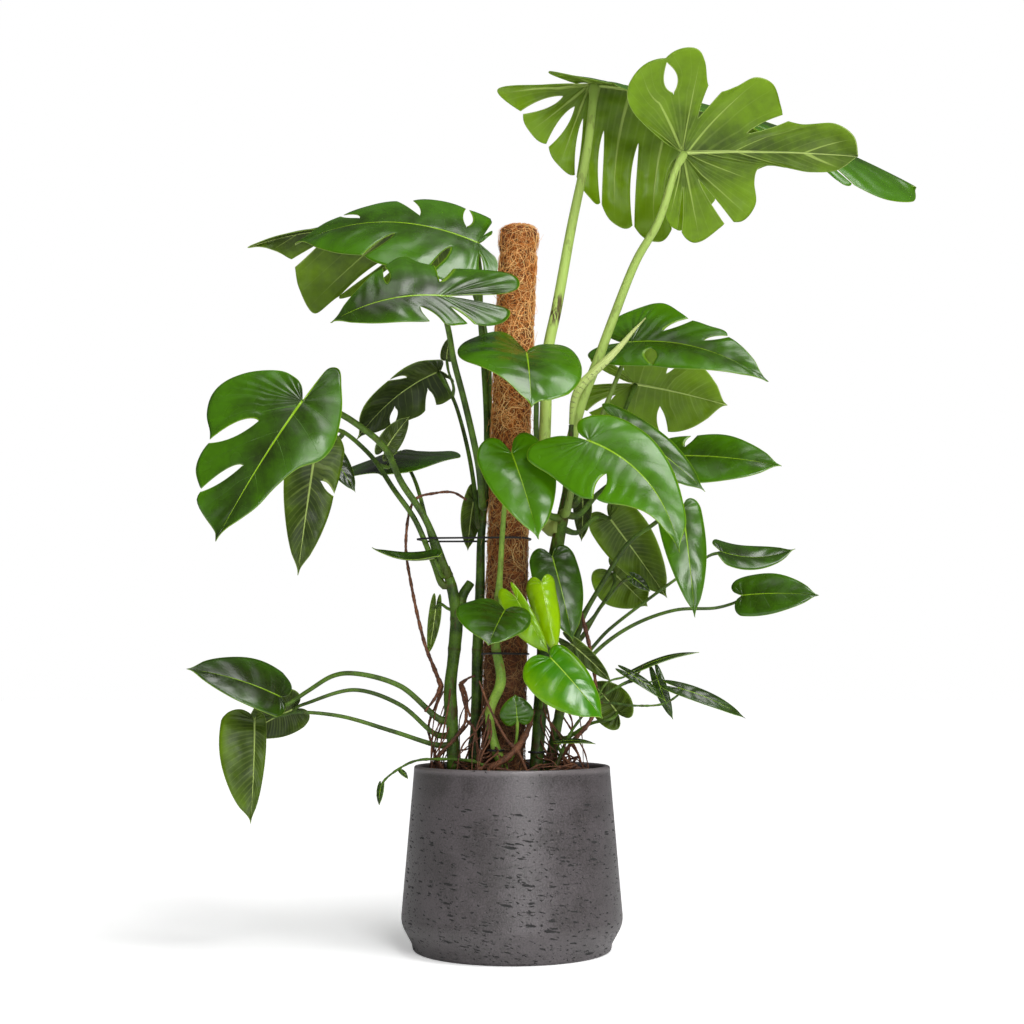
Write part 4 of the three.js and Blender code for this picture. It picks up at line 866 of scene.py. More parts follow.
# %% Notes for every leaf
# How far out from the midrib the slits begin at the least, by the leaf's size
LARGE = 0.32
MIDDLE = 0.4


def half(width, fold=0, curl=0, **more):
    return {"width": width, "fold": fold, "curl": curl, "slits": [], **more}


def leaf(name, on, base, tip, face, left, right, **more):
    return {"name": name, "on": on, "base": base, "tip": tip, "face": face, "left": left, "right": right,
            "arch": 0.06, "sway": 0, "rows": 0.5, "clear": 0, "fresh": False, **more}


LEAVES = [
    leaf("crown_leaf_rear", "right_stem", [110, 1183, 170], [562, 1034, 210], [0.05, 0.42, 0.9], half(240,
         -38, -45, drip=0,
         outline=[[0, 0], [-0.13, 0.04], [-0.26, 0.1], [-0.18, 0.28], [-0.08, 0.5], [0.02, 0.71],
         [0.13, 0.87], [0.29, 0.95], [0.42, 0.68], [0.6, 0.22], [1, 0]], slits=[[0.28, 0.4, 1, 9], [0.37,
         0.35, 1, 9], [0.46, 0.35, 1, 6], [0.55, 0.35, 1, 6], [0.64, 0.35, 1, 6], [0.73, 0.35, 1, 9],
         [0.82, 0.35, 1, 9]]), half(200, -38, -18, twist=-34, drip=0, outline=[[0, 0], [-0.07, 0.08], [-0.14,
         0.26], [-0.12, 0.5], [0.02, 0.76], [0.15, 0.84], [0.28, 0.62], [0.43, 0.44], [0.6, 0.6], [0.7,
         0.48], [0.81, 0.56], [0.93, 0.48], [1.01, 0.24], [1, 0]], slits=[[0.3, 0.45, 1, 7], [0.45, 0.4, 1,
         8], [0.57, 0.4, 1, 12, 0.8], [0.69, 0.4, 1, 10, 0.8], [0.8, 0.4, 1, 8]]), stalk=[[105, 1090, 140],
         [82, 975, 105], [62, 865, 72], [49, 800, 56], [46, 720, 40], [44, 640, 22], [50, 560, 10]],
         thick=[6, 9], arch=0.07, rows=LARGE, clear=0.7),
    leaf("crown_leaf_front", "right_stem", [237, 1083, -110], [482, 1078, -100], [-0.05, 0.8, 0.6],
         half(128, 4, -10, drip=0, ribs=3.4, outline=[[0, 0], [-0.06, 0.12], [-0.09, 0.35], [-0.07, 0.65], [0,
         0.87], [0.08, 0.97], [0.16, 0.98], [0.28, 0.86], [0.39, 0.8], [0.45, 0.58], [0.43, 0.34], [0.45,
         0.19], [0.53, 0.15], [0.64, 0.17], [0.76, 0.2], [0.9, 0.17], [1, 0]], slits=[[0.27, 0.4, 1, 5,
         0.8], [0.47, 0.35, 1, 8, 0.8]]), half(143, -4, -6, drip=0, ribs=3.4, outline=[[0, 0], [-0.12, 0.13],
         [-0.3, 0.4], [-0.35, 0.62], [-0.28, 0.86], [-0.15, 1], [-0.01, 1.01], [0.07, 0.88], [0.14, 0.68],
         [0.24, 0.66], [0.36, 0.72], [0.48, 0.64], [0.57, 0.42], [0.66, 0.3], [0.84, 0.31], [0.96, 0.2],
         [1, 0]], slits=[[0.3, 0.6, 0.94, 9], [0.51, 0.5, 1, 12, 0.9], [0.78, 0.5, 1, 10, 0.6]]),
         stalk=[[228, 1060, -118], [203, 985, -108], [172, 930, -84], [140, 850, -52], [118, 790, -36],
         [95, 730, -24], [82, 680, -12], [76, 630, -6]], thick=[4.5, 8], arch=0.05, rows=LARGE),
    leaf("upper_left_leaf", "climbing_stem", [-48, 955, -38], [-300, 952, 10], [0, -0.6, 0.8], half(105,
         -5, -20, lobe=0.14, slits=[[0.4, 0.3, 1, 5], [0.58, 0.3, 1, 6], [0.74, 0.35, 1, 6]]), half(86, 12,
         -18, lobe=0.04, slits=[[0.4, 0.35, 1, 14, 0.8], [0.56, 0.3, 1, 8], [0.7, 0.3, 1, 14, 0.8], [0.84,
         0.4, 1, 8]]), stalk=[[-45, 915, -24], [-44, 865, 4], [-38, 780, 20], [-34, 700, 20], [-35, 620,
         18]], thick=[4, 5], arch=0.12, rows=LARGE),
    leaf("upper_left_leaf_rear", "climbing_stem", [-105, 965, 160], [-366, 948, 150], [-0.1, 0.62, 0.78],
         half(68, -42, -20, lobe=0.1, slits=[[0.55, 0.35, 1, 8], [0.75, 0.4, 1, 7]]), half(121, -22, -16,
         ribs=2.2, outline=[[0, 0], [-0.08, 0.12], [-0.06, 0.48], [0.08, 0.68], [0.26, 0.8], [0.44, 0.84],
         [0.6, 0.9], [0.74, 1], [0.8, 0.62], [0.84, 0.22], [1, 0]], slits=[[0.36, 0.3, 1, 9], [0.48, 0.3,
         1, 9, 0.8], [0.6, 0.35, 0.97, 8], [0.86, 0.4, 1, 7, 0.9]]), stalk=[[-78, 940, 140], [-50, 880,
         105], [-34, 800, 75], [-32, 700, 58], [-34, 620, 30]], thick=[4, 5], arch=0.12, rows=MIDDLE),
    leaf("second_left_leaf", "climbing_stem", [-97, 880, -150], [-250, 842, -160], [-0.1, -0.78, 0.62],
         half(72, -8, -15, outline=[[0, 0], [-0.2, 0.04], [-0.42, 0.1], [-0.56, 0.26], [-0.5, 0.5], [-0.34,
         0.64], [-0.14, 0.66], [0.04, 0.7], [0.3, 0.6], [0.66, 0.42], [1, 0]], slits=[[0.56, 0.4, 1, 6,
         0.7], [0.72, 0.4, 1, 13, 0.7]]), half(101, 8, -20, outline=[[0, 0], [-0.2, 0.03], [-0.5, 0.12],
         [-0.72, 0.32], [-0.68, 0.58], [-0.36, 0.66], [0.02, 0.74], [0.2, 0.94], [0.42, 0.72], [0.66,
         0.36], [1, 0]], slits=[[0.56, 0.4, 1, 13, 0.9], [0.8, 0.4, 1, 6]]), stalk=[[-87, 830, -120], [-80,
         790, -86], [-67, 740, -62], [-55, 690, -54], [-45, 640, -30], [-40, 590, -4]], thick=[3.6, 5],
         arch=0.1, rows=MIDDLE),
    leaf("big_left_leaf", "left_stem", [-287, 733, -170], [-402, 540, -200], [0.1, -0.93, 0.35], half(66,
         14, -30, outline=[[0, 0], [-0.14, 0], [-0.27, 0.03], [-0.29, 0.26], [-0.19, 0.5], [-0.05, 0.78],
         [0.14, 1], [0.28, 0.96], [0.4, 0.68], [0.56, 0.5], [0.72, 0.38], [0.88, 0.14], [1, 0]]), half(101,
         -4, -18, outline=[[0, 0], [-0.08, 0.11], [-0.12, 0.26], [-0.13, 0.52], [-0.06, 0.86], [0.05,
         1.06], [0.19, 1.13], [0.34, 1.05], [0.46, 0.88], [0.57, 0.8], [0.68, 0.71], [0.77, 0.56], [0.85,
         0.5], [0.92, 0.33], [0.96, 0.15], [1, 0]], slits=[[0.57, 0.4, 1, 14, 0.2], [0.77, 0.35, 1, 11,
         0.2]]), stalk=[[-262, 728, -140], [-238, 717, -118], [-215, 703, -102], [-175, 670, -72], [-150,
         620, -24], [-120, 575, -16], [-100, 530, -10], [-88, 495, -4]], thick=[4, 5], arch=0.06,
         rows=LARGE),
    leaf("hanging_left_leaf", "left_stem", [-268, 668, 50], [-290, 494, 40], [0.1, -0.97, 0.2], half(43, 5,
         -20, lobe=0.15, taper=0.2, slits=[[0.66, 0.3, 1, 6]]), half(41, 5, -20, lobe=0.15, taper=0.2),
         stalk=[[-250, 690, 68], [-235, 692, 62], [-195, 660, 48], [-160, 610, 2], [-132, 570, 0], [-108,
         515, 0], [-92, 480, 0]], thick=[3, 4], arch=0.05, rows=MIDDLE),
    leaf("hanging_left_small", "left_stem", [-250, 665, 62], [-213, 607, 58], [0.2, -0.95, 0.2], half(17,
         0, -10, lobe=0.05), half(17, 0, -10, lobe=0.05), stalk=[[-246, 671, 77], [-232, 686, 68]],
         thick=[2.2, 2.6], rows=[0, 1], joins="hanging_left_leaf"),
    leaf("dark_left_leaf", "climbing_stem", [-100, 775, 80], [-212, 680, 110], [-0.5, 0.55, 0.65], half(74,
         -10, -25, lobe=0.12, slits=[[0.66, 0.35, 1, 7]]), half(46, -25, -30, lobe=0.06, slits=[[0.42,
         0.25, 1, 12, 0.8], [0.62, 0.25, 1, 13, 0.8], [0.8, 0.35, 1, 8]]), stalk=[[-92, 757, 74], [-80,
         735, 66], [-70, 705, 54], [-58, 655, 34], [-50, 605, 18], [-44, 560, 16]], thick=[2.4, 3.4],
         arch=0.1, rows=MIDDLE),
    leaf("small_grey_leaf", "climbing_stem", [-90, 790, 26], [-86, 823, 30], [-0.3, 0.9, 0], half(10, 0,
         -20, lobe=0.05), half(10, 0, -20, lobe=0.05), stalk=[[-87, 774, 18], [-80, 752, 44]], thick=[1.6,
         2], rows=[0, 1], joins="dark_left_leaf", clear=0.4),
    leaf("level_left_leaf", "left_stem", [-152, 664, 190], [-178, 630, 90], [0, -0.12, 1], half(95, -6, 6,
         lobe=0.3), half(104, -14, -10, lobe=0.3), stalk=[[-140, 640, 160], [-126, 605, 62], [-113, 555,
         34], [-98, 505, 12]], thick=[2.4, 3.2], arch=0.06, rows=MIDDLE),
    leaf("upright_grey_leaf", "left_stem", [-172, 668, 54], [-140, 712, 58], [-0.5, 0.85, 0], half(16, 0,
         -15), half(18, 0, -15), stalk=[[-167, 652, 46], [-166, 642, 45]], thick=[1.8, 2.2],
         joins="hanging_left_leaf"),
    leaf("front_heart_leaf", "right_stem", [20, 800, -130], [27, 724, -206], [0, -0.55, 0.84], half(70, 8,
         -30, outline=[[0, 0], [-0.14, 0.1], [-0.34, 0.34], [-0.38, 0.62], [-0.24, 0.84], [0.04, 0.98],
         [0.34, 1], [0.66, 0.88], [0.9, 0.56], [0.92, 0.26], [1, 0]]), half(92, 14, -32, outline=[[0, 0],
         [-0.24, 0.06], [-0.54, 0.16], [-0.78, 0.36], [-0.74, 0.62], [-0.5, 0.84], [-0.16, 0.97], [0.12,
         0.92], [0.4, 0.68], [0.7, 0.32], [1, 0]]), stalk=[[28, 770, -116], [33, 735, -92], [33, 695, -72],
         [36, 640, -54], [46, 580, -26]], thick=[3.2, 4.2], arch=0.1, rows=MIDDLE),
    leaf("bright_heart_leaf", "front_stem", [0, 660, -150], [36, 543, -190], [0.1, -0.95, 0.3], half(46,
         16, -30, lobe=0.22), half(49, 16, -30, lobe=0.24, taper=0.2), stalk=[[-6, 625, -92], [-10, 590,
         -74], [-13, 550, -62], [-16, 500, -54], [-19, 460, -49]], thick=[2.6, 4], arch=0.06, rows=MIDDLE),
    leaf("large_front_leaf", "right_stem", [105, 678, -190], [227, 525, -250], [0.1, -0.95, 0.3], half(54,
         4, -20, outline=[[0, 0], [-0.1, 0.15], [-0.13, 0.45], [-0.05, 0.8], [0.06, 1], [0.18, 0.97],
         [0.32, 0.87], [0.5, 0.7], [0.7, 0.47], [0.87, 0.28], [1, 0]]), half(74, 4, -25, outline=[[0, 0],
         [-0.17, 0.1], [-0.29, 0.48], [-0.27, 0.75], [-0.1, 0.85], [0.08, 0.97], [0.27, 1], [0.42, 0.85],
         [0.58, 0.55], [0.75, 0.25], [1, 0]], slits=[[0.66, 0.45, 1, 9]]), stalk=[[98, 655, -156], [88,
         630, -70], [80, 605, -40], [74, 580, -16]], thick=[3.4, 5], arch=0.07, sway=0.11, rows=LARGE),
    leaf("behind_front_leaf", "right_stem", [150, 700, -90], [263, 608, -120], [0.1, -0.95, 0.3], half(26,
         4, -20), half(33, 4, -20), stalk=[[132, 678, -76], [108, 645, -52], [88, 610, -14]], thick=[2.6,
         3.4]),
    leaf("right_leaf", "right_stem", [222, 657, 0], [368, 643, -60], [0, -0.86, 0.5], half(46, 4, -20,
         lobe=0.2, slits=[[0.55, 0.3, 1, 8, 0.6]]), half(46, 4, -20, lobe=0.2), stalk=[[200, 648, 10],
         [160, 635, 28], [118, 606, 22], [88, 575, 8]], thick=[2.8, 4], arch=0.05, sway=-0.005,
         rows=MIDDLE),
    leaf("upper_right_leaf", "right_stem", [165, 815, 4], [352, 760, -70], [-0.1, -0.78, 0.6], half(86, 4,
         -10, outline=[[0, 0], [-0.12, 0.08], [-0.22, 0.28], [-0.19, 0.7], [-0.06, 0.97], [0.08, 1], [0.25,
         0.76], [0.42, 0.58], [0.57, 0.54], [0.68, 0.38], [0.85, 0.18], [1, 0]], slits=[[0.59, 0.4, 1, 8,
         0.5], [0.77, 0.4, 1, 5]]), half(62, 26, -44, lobe=0.26, slits=[[0.62, 0.4, 0.97, 9]]),
         stalk=[[156, 794, 12], [146, 770, 10], [136, 745, 4], [118, 700, -6], [98, 650, -10], [84, 615,
         -6]], thick=[3, 4], arch=0.08, sway=0.04, rows=MIDDLE),
    leaf("grey_right_leaf", "right_stem", [168, 757, 110], [295, 727, 130], [-0.05, 0.85, 0.5], half(74,
         -6, -10, lobe=0.62, slits=[[0.4, 0.35, 1, 6], [0.7, 0.3, 1, 10, 0.6]]), half(68, -6, -10,
         lobe=0.5, slits=[[0.38, 0.2, 1, 16, 0.9], [0.68, 0.35, 1, 7, 0.5]]), stalk=[[160, 735, 104], [148,
         705, 88], [124, 660, 62], [98, 615, 22], [84, 590, 8]], thick=[3, 4], arch=0.05, rows=MIDDLE),
    leaf("hanging_right_leaf", "rear_stem", [232, 585, -90], [247, 437, -120], [0, -0.97, 0.2], half(26, 4,
         -25, lobe=0.1), half(37, 4, -25, lobe=0.1, taper=0.3), stalk=[[215, 580, -34], [190, 562, -14],
         [160, 540, 4], [120, 480, 18], [90, 425, 26]], thick=[2.6, 3.6], arch=0.05, rows=MIDDLE),
    leaf("dark_right_leaf", "right_stem", [132, 573, 70], [210, 463, 80], [0.1, 0.95, 0.25], half(35, -6,
         -15, lobe=0.14), half(41, -6, -15, lobe=0.14), stalk=[[112, 572, 24], [88, 552, 12]], thick=[2.4,
         3.4], arch=0.05, rows=MIDDLE),
    leaf("round_right_leaf", "rear_stem", [138, 497, 120], [183, 452, 126], [0.1, 0.97, 0.1], half(41, -5,
         -15, lobe=0.35), half(37, -5, -15, lobe=0.35), stalk=[[136, 476, 68], [116, 446, 58], [92, 408,
         42]], thick=[2.2, 3]),
    leaf("tiny_right_leaf", "rear_stem", [164, 491, 20], [187, 472, 22], [0.2, -0.95, 0.2], half(9, 0,
         -10), half(9, 0, -10), stalk=[[150, 486, 20], [126, 458, 22], [98, 426, 26]], thick=[1.6, 2]),
    leaf("dark_centre_leaf", "right_stem", [55, 518, -34], [82, 405, -50], [0.1, -0.97, 0.2], half(32, 6,
         -25, lobe=0.14), half(34, 10, -25, lobe=0.14), stalk=[[54, 502, -24], [54, 484, -10]], thick=[2.4,
         3.2], arch=0.06, rows=MIDDLE),
    leaf("dark_rear_leaf", "right_stem", [96, 602, 46], [94, 540, 50], [0.3, 0.9, 0.2], half(14, 0, -15),
         half(14, 0, -15), stalk=[[92, 606, 34], [84, 596, 18]], thick=[1.8, 2.4]),
    leaf("fresh_curled_leaf", "right_stem", [40, 484, -76], [59, 386, -86], [-0.1, -0.95, 0.3], half(26,
         -10, -70, lobe=0.12, taper=0.3), half(30, -10, -60, lobe=0.12, taper=0.3), stalk=[[42, 470, -64],
         [46, 444, -63], [48, 418, -54], [46, 398, -28]], thick=[1.8, 2.4], arch=0.05, rows=MIDDLE,
         fresh=True),
    leaf("fresh_rear_leaf", "front_stem", [7, 461, -84], [50, 388, -90], [-0.3, -0.85, 0.4], half(10, 10,
         -20), half(26, 0, -20), stalk=[[0, 452, -70], [-12, 426, -56]], thick=[1.6, 2.2], fresh=True),
    leaf("fresh_heart_leaf", "right_stem", [52, 383, -110], [122, 301, -128], [0.05, -0.95, 0.3], half(27,
         6, -25, lobe=0.1), half(48, 6, -25, lobe=0.16), stalk=[[48, 364, -88], [42, 340, -58], [38, 318,
         -28]], thick=[2.2, 3], arch=0.06, rows=MIDDLE, fresh=True),
    leaf("dark_front_leaf", "front_stem", [-10, 446, -114], [-32, 399, -156], [0, -0.8, 0.6], half(38, 8,
         -25, lobe=0.26), half(60, 4, -20, lobe=0.26), stalk=[[-14, 430, -92], [-20, 412, -62]], thick=[2,
         2.8], arch=0.06, rows=MIDDLE),
    leaf("small_round_leaf", "front_stem", [7, 302, -78], [4, 334, -82], [0, -0.95, 0.3], half(22, 4, -20),
         half(22, 4, -20), stalk=[[7, 286, -69], [4, 264, -60], [-2, 248, -54]], thick=[1.6, 2.2]),
    leaf("low_right_leaf", "rear_stem", [142, 309, 0], [106, 352, 10], [0, 0.9, 0.4], half(30, -5, -15),
         half(28, -5, -15), stalk=[[134, 302, -12], [105, 295, -2], [72, 276, 18]], thick=[2, 2.6]),
    leaf("far_right_curled_leaf", "rear_stem", [284, 526, 90], [384, 530, 110], [0, -0.5, 0.85], half(31,
         20, -20, lobe=0.1), half(33, 5, -30, lobe=0.1), stalk=[[270, 522, 92], [252, 510, 88], [190, 466,
         68], [130, 420, 50], [90, 380, 36]], thick=[1.8, 2.6], arch=-0.1, rows=MIDDLE),
    leaf("far_right_leaf", "rear_stem", [312, 467, -50], [415, 467, -90], [0, -0.94, 0.35], half(33, 6,
         -30, lobe=0.18), half(31, 6, -20, lobe=0.1), stalk=[[298, 456, 14], [275, 450, 16], [220, 447,
         20], [160, 425, 24], [112, 390, 26], [82, 350, 28]], thick=[1.8, 3], arch=0.06, rows=MIDDLE),
    leaf("curled_left_leaf", "left_stem", [-104, 518, -32], [-190, 532, -36], [0, -0.5, 0.86], half(18, 20,
         20, lobe=0.1), half(18, 10, 10, lobe=0.1), stalk=[[-100, 506, -24], [-93, 492, -8]], thick=[1.8,
         2.2], arch=-0.12),
    leaf("olive_leaf", "left_stem", [-103, 450, 16], [-113, 386, 18], [0.2, 0.95, 0], half(9, 0, -10),
         half(9, 0, -10), stalk=[[-98, 456, 12], [-84, 448, 4]], thick=[1.4, 1.8]),
    leaf("pole_side_leaf", "climbing_stem", [-52, 597, 34], [-60, 527, 42], [-0.3, 0.9, 0.1], half(16, 0,
         -15), half(16, 0, -15), stalk=[[-48, 594, 26], [-43, 578, 18]], thick=[1.8, 2.2]),
    leaf("low_left_leaf", "left_stem", [-312, 331, -70], [-438, 368, -110], [0.1, -0.72, 0.7], half(35, 4,
         -20, lobe=0.08), half(47, 4, -10, lobe=0.12), stalk=[[-303, 320, -12], [-275, 338, -8], [-240,
         359, -10], [-212, 362, -12], [-150, 345, -6], [-95, 300, 0]], thick=[2.4, 4], arch=0.06,
         rows=MIDDLE),
    leaf("low_left_round_leaf", "left_stem", [-292, 315, 60], [-360, 279, 50], [-0.2, 0.9, 0.35], half(39,
         -5, -15, lobe=0.2), half(31, -5, -15, lobe=0.2), stalk=[[-276, 322, -6], [-212, 340, 4], [-150,
         320, 8], [-100, 280, 6]], thick=[2, 3.4]),
    leaf("low_left_hanging_leaf", "left_stem", [-345, 300, -34], [-348, 163, -50], [0.3, -0.93, 0.2],
         half(16, 10, -30, lobe=0.08), half(46, 6, -20, lobe=0.1), stalk=[[-335, 302, -16], [-308, 306,
         -19], [-290, 310, -24], [-230, 305, -18], [-160, 285, -8], [-96, 266, 0]], thick=[2, 3.4],
         arch=0.05, rows=MIDDLE),
]
slit_count = sum(len(one["left"]["slits"]) + len(one["right"]["slits"]) for one in LEAVES)
print(len(LEAVES), "leaves,", slit_count, "slits")

# %% [markdown]
# ## Drawing a half blade flat
#
# A half blade is first drawn flat, as on paper. `margin` runs round its edge from the notch at
# the stalk to the tip. A side rib joins a point of the midrib to a point of the margin, bending
# forward, and every other point of the blade lies a share of the way along some rib. A slit
# opens by pushing the points beside its rib apart. Working in this net, and not in plain x and
# y, is what lets the veins, the slits and the mesh all follow the leaf's own growth. The last
# bit before the tip is drawn narrower, as the drip tip that lets rain run off a real leaf.
# Only the two crown leaves do without it, since theirs are blunt.

# %% The flat net of a half blade
HEART = [[0, 0], [-0.10, 0.06], [-0.24, 0.21], [-0.30, 0.46], [-0.22, 0.74], [-0.02, 0.94],
         [0.22, 1], [0.46, 0.90], [0.70, 0.63], [0.88, 0.29], [1, 0]]
HEART_LOBE = 0.3
RIB_START = 0.45
RIB_POWER = 1.6
NOTCH_START = 0.05
DRIP_TIP = 0.6


def through(points, share):
    """A smooth line through outline points, evenly numbered from 0 to 1."""
    points = np.array(points, float)
    place = np.clip(share, 0, 0.999999) * (len(points) - 1)
    low = np.floor(place).astype(int)
    f = (place - low)[..., None]
    a, b, c, d = (points[np.clip(low + k, 0, len(points) - 1)] for k in (-1, 0, 1, 2))
    return b + 0.5 * f * (c - a + f * (2 * a - 5 * b + 4 * c - d + f * (3 * (b - c) + d - a)))


def margin(side, length, m):
    line = through(side.get("outline", HEART), m)
    s, t = line[..., 0], line[..., 1]
    back = np.where(s < 0, side.get("lobe", HEART_LOBE) / HEART_LOBE, 1)
    slim = 1 - side.get("taper", 0) * np.maximum(0, s) ** 0.7
    slim *= 1 - side.get("drip", DRIP_TIP) * np.clip((s - 0.84) / 0.12, 0, 1) ** 1.5
    return np.stack([s * back * length, np.maximum(0, t) * slim * side["width"]], -1)


def rib(side, length, m, q):
    """The point a share q along the rib that ends at margin place m."""
    m, q = np.broadcast_arrays(np.asarray(m, float), np.asarray(q, float))
    spread = np.maximum(0, (m - RIB_START) / (1 - RIB_START)) ** side.get("ribs", RIB_POWER)
    foot = np.stack([length * spread, np.zeros_like(spread)], -1)
    end = margin(side, length, m)
    turn = np.cos(np.pi * np.minimum(1, m / 0.8)) * np.minimum(1, m / 0.3)
    knee = (foot + end) / 2
    knee[..., 0] += 0.12 * turn * np.linalg.norm(end - foot, axis=-1)
    q = q[..., None]
    return foot * (1 - q) ** 2 + 2 * knee * q * (1 - q) + end * q * q


def slit_width(slit, q):
    """Half the opening of a slit: a drop that narrows to its mouth, or a closed hole."""
    _, inner, outer, width, mouth = (*slit, 0.3)[:5]
    share = np.clip((q - inner) / (outer - inner), 0, 1)
    drop = np.sin(np.pi * np.minimum(1, share ** 0.75))
    width = width * drop if outer < 1 else width * ((1 - mouth) * drop + mouth * share)
    return np.where((q <= inner) | (q >= outer + 0.01), 0, width)


def slit_step(side, length, slit, q, room):
    """The way from a slit's rib to its edge, towards the tip."""
    across = rib(side, length, slit[0] + 0.01, q) - rib(side, length, slit[0] - 0.01, q)
    reach = np.linalg.norm(across, axis=-1, keepdims=True)
    return across / np.maximum(reach, 1e-9) * np.minimum(slit_width(slit, q), room)[..., None]


heart_edge = margin(half(100), 100, np.linspace(0, 1, 101))
print("the widest place of a heart is at", round(float(np.argmax(heart_edge[:, 1])) / 100, 2))

# %% [markdown]
# ## Bending the blade
#
# The flat net is laid on an arched midrib and each half is turned down or up about it by its
# fold, then curled more and more towards the margin. Between the side veins a real blade
# bulges a little, like quilting, and its margin waves. Both are only a millimetre or two, but
# they break up the gloss, so they are real shape here and not a bump.

# %% The bent blade
CELL = 4.0
VEIN_SPREAD = 0.115


class Blade:
    def __init__(self, one):
        self.leaf = one
        self.base, self.tip = at(one["base"]), at(one["tip"])
        self.chord = self.tip - self.base
        self.length = np.linalg.norm(self.chord)
        self.forward = self.chord / self.length
        normal = np.array(one["face"], float)
        normal -= self.forward * np.dot(normal, self.forward)
        self.normal = normal / np.linalg.norm(normal)
        self.left = np.cross(self.normal, self.forward)

    def spine(self, u):
        u = np.asarray(u, float)[..., None]
        rise = np.where(u < 0, 4 * u, 4 * u * (1 - u)) * self.length
        return (self.base + self.chord * u + self.normal * self.leaf["arch"] * rise
                + self.left * self.leaf["sway"] * rise)

    def place(self, x, y, hand, lift=0):
        """Flat places x along and y out from the midrib, bent, and lifted off the blade."""
        side = self.leaf["left" if hand > 0 else "right"]
        u = x / self.length
        ahead = self.spine(u + 0.01) - self.spine(u)
        ahead /= np.linalg.norm(ahead, axis=-1, keepdims=True)
        up = self.normal - ahead * (ahead @ self.normal)[..., None]
        up /= np.linalg.norm(up, axis=-1, keepdims=True)
        out = np.cross(up, ahead) * hand
        start = np.radians(side["fold"] + side.get("twist", 0) * np.clip(u, 0, 1))
        turn = math.radians(side["curl"] or 0.01)
        reach = side["width"] / turn
        end = start + turn * y / side["width"]
        sideways = reach * (np.sin(end) - np.sin(start)) - lift * np.sin(end)
        upwards = reach * (np.cos(start) - np.cos(end)) + lift * np.cos(end)
        return self.spine(u) + out * sideways[..., None] + up * upwards[..., None]

    def fingers(self, hand):
        """The nets of a half's fingers: flat points and what the finish needs to know there."""
        side = self.leaf["left" if hand > 0 else "right"]
        slits = [[m, max(inner, self.leaf["rows"]), *rest] for m, inner, *rest in side["slits"]]
        length = self.length
        q = np.concatenate([[0], np.linspace(0.035, 1, max(6, int(side["width"] / CELL)))])[None, :]
        borders = [None, *slits, None]
        vein = 0
        for before, after in zip(borders, borders[1:]):
            start = before[0] if before else NOTCH_START
            end = after[0] if after else 1
            edge = margin(side, length, np.linspace(start, end, 20))
            columns = max(3, int(np.linalg.norm(np.diff(edge, axis=0), axis=1).sum() / CELL))
            g = np.linspace(0, 1, columns + 1)[:, None]
            m = start + (end - start) * g
            corner = ((g < 0.5) & bool(before)) | ((g > 0.5) & bool(after))
            pulled = q * (1 - 0.07 * np.abs(2 * g - 1) ** 3 * q ** 4 * corner)
            flat = rib(side, length, m, pulled)
            span = np.linalg.norm(rib(side, length, end, q) - rib(side, length, start, q), axis=-1)
            depth = np.linalg.norm(rib(side, length, m, 1.0) - rib(side, length, m, 0.0), axis=-1)
            edge_gap = (1 - pulled) * depth
            slope = 1 - 2 * g
            borders_here = ((before, np.maximum(0, slope), g), (after, np.minimum(0, slope), 1 - g))
            for slit, weight, share in borders_here:
                if slit:
                    flat = flat + weight[..., None] * slit_step(side, length, slit, q, 0.4 * span)
                    closed = np.maximum(0, slit[1] - q) + np.maximum(0, q - slit[2])
                    edge_gap = np.minimum(edge_gap, share * span + closed * depth)
            count = 1 if before and after else max(1, round((end - start) / VEIN_SPREAD))
            yield {"flat": flat, "vein": vein + g * count + 0 * q, "spacing": span / count + 0 * g,
                   "edge": edge_gap, "q": q + 0 * g}
            vein += count


def relief(net, side, cut):
    """How far the blade bulges between its veins and waves at its margin."""
    beat = np.sin(2 * np.pi * net["vein"]) ** 2 if cut else 0.5 + 0.5 * np.cos(2 * np.pi * net["vein"])
    window = np.sin(np.pi * np.minimum(net["q"] * 1.25, 1) * 0.5) * (1 - net["q"] ** 5)
    bulge = min(2.4, 0.055 * side["width"] ** 0.85) * (0.6 if cut else 0.25) * beat * window
    wave = 0.022 * side["width"] * net["q"] ** 3 * np.sin(2 * np.pi * net["vein"] * 0.37 + side["width"])
    return bulge + wave


print("cells are", CELL, "mm wide")

# %% [markdown]
# ## Making each blade a mesh
#
# Neighbouring nets share points, so every point is looked up by its flat place before a new
# one is made. That welds the fingers together as far out as their slits' inner ends, and the
# two halves along the midrib. A cell that two fingers share only in part becomes a fan of
# triangles at the midrib, so that no gap opens there.

# %% Blade meshes
GRID = 20


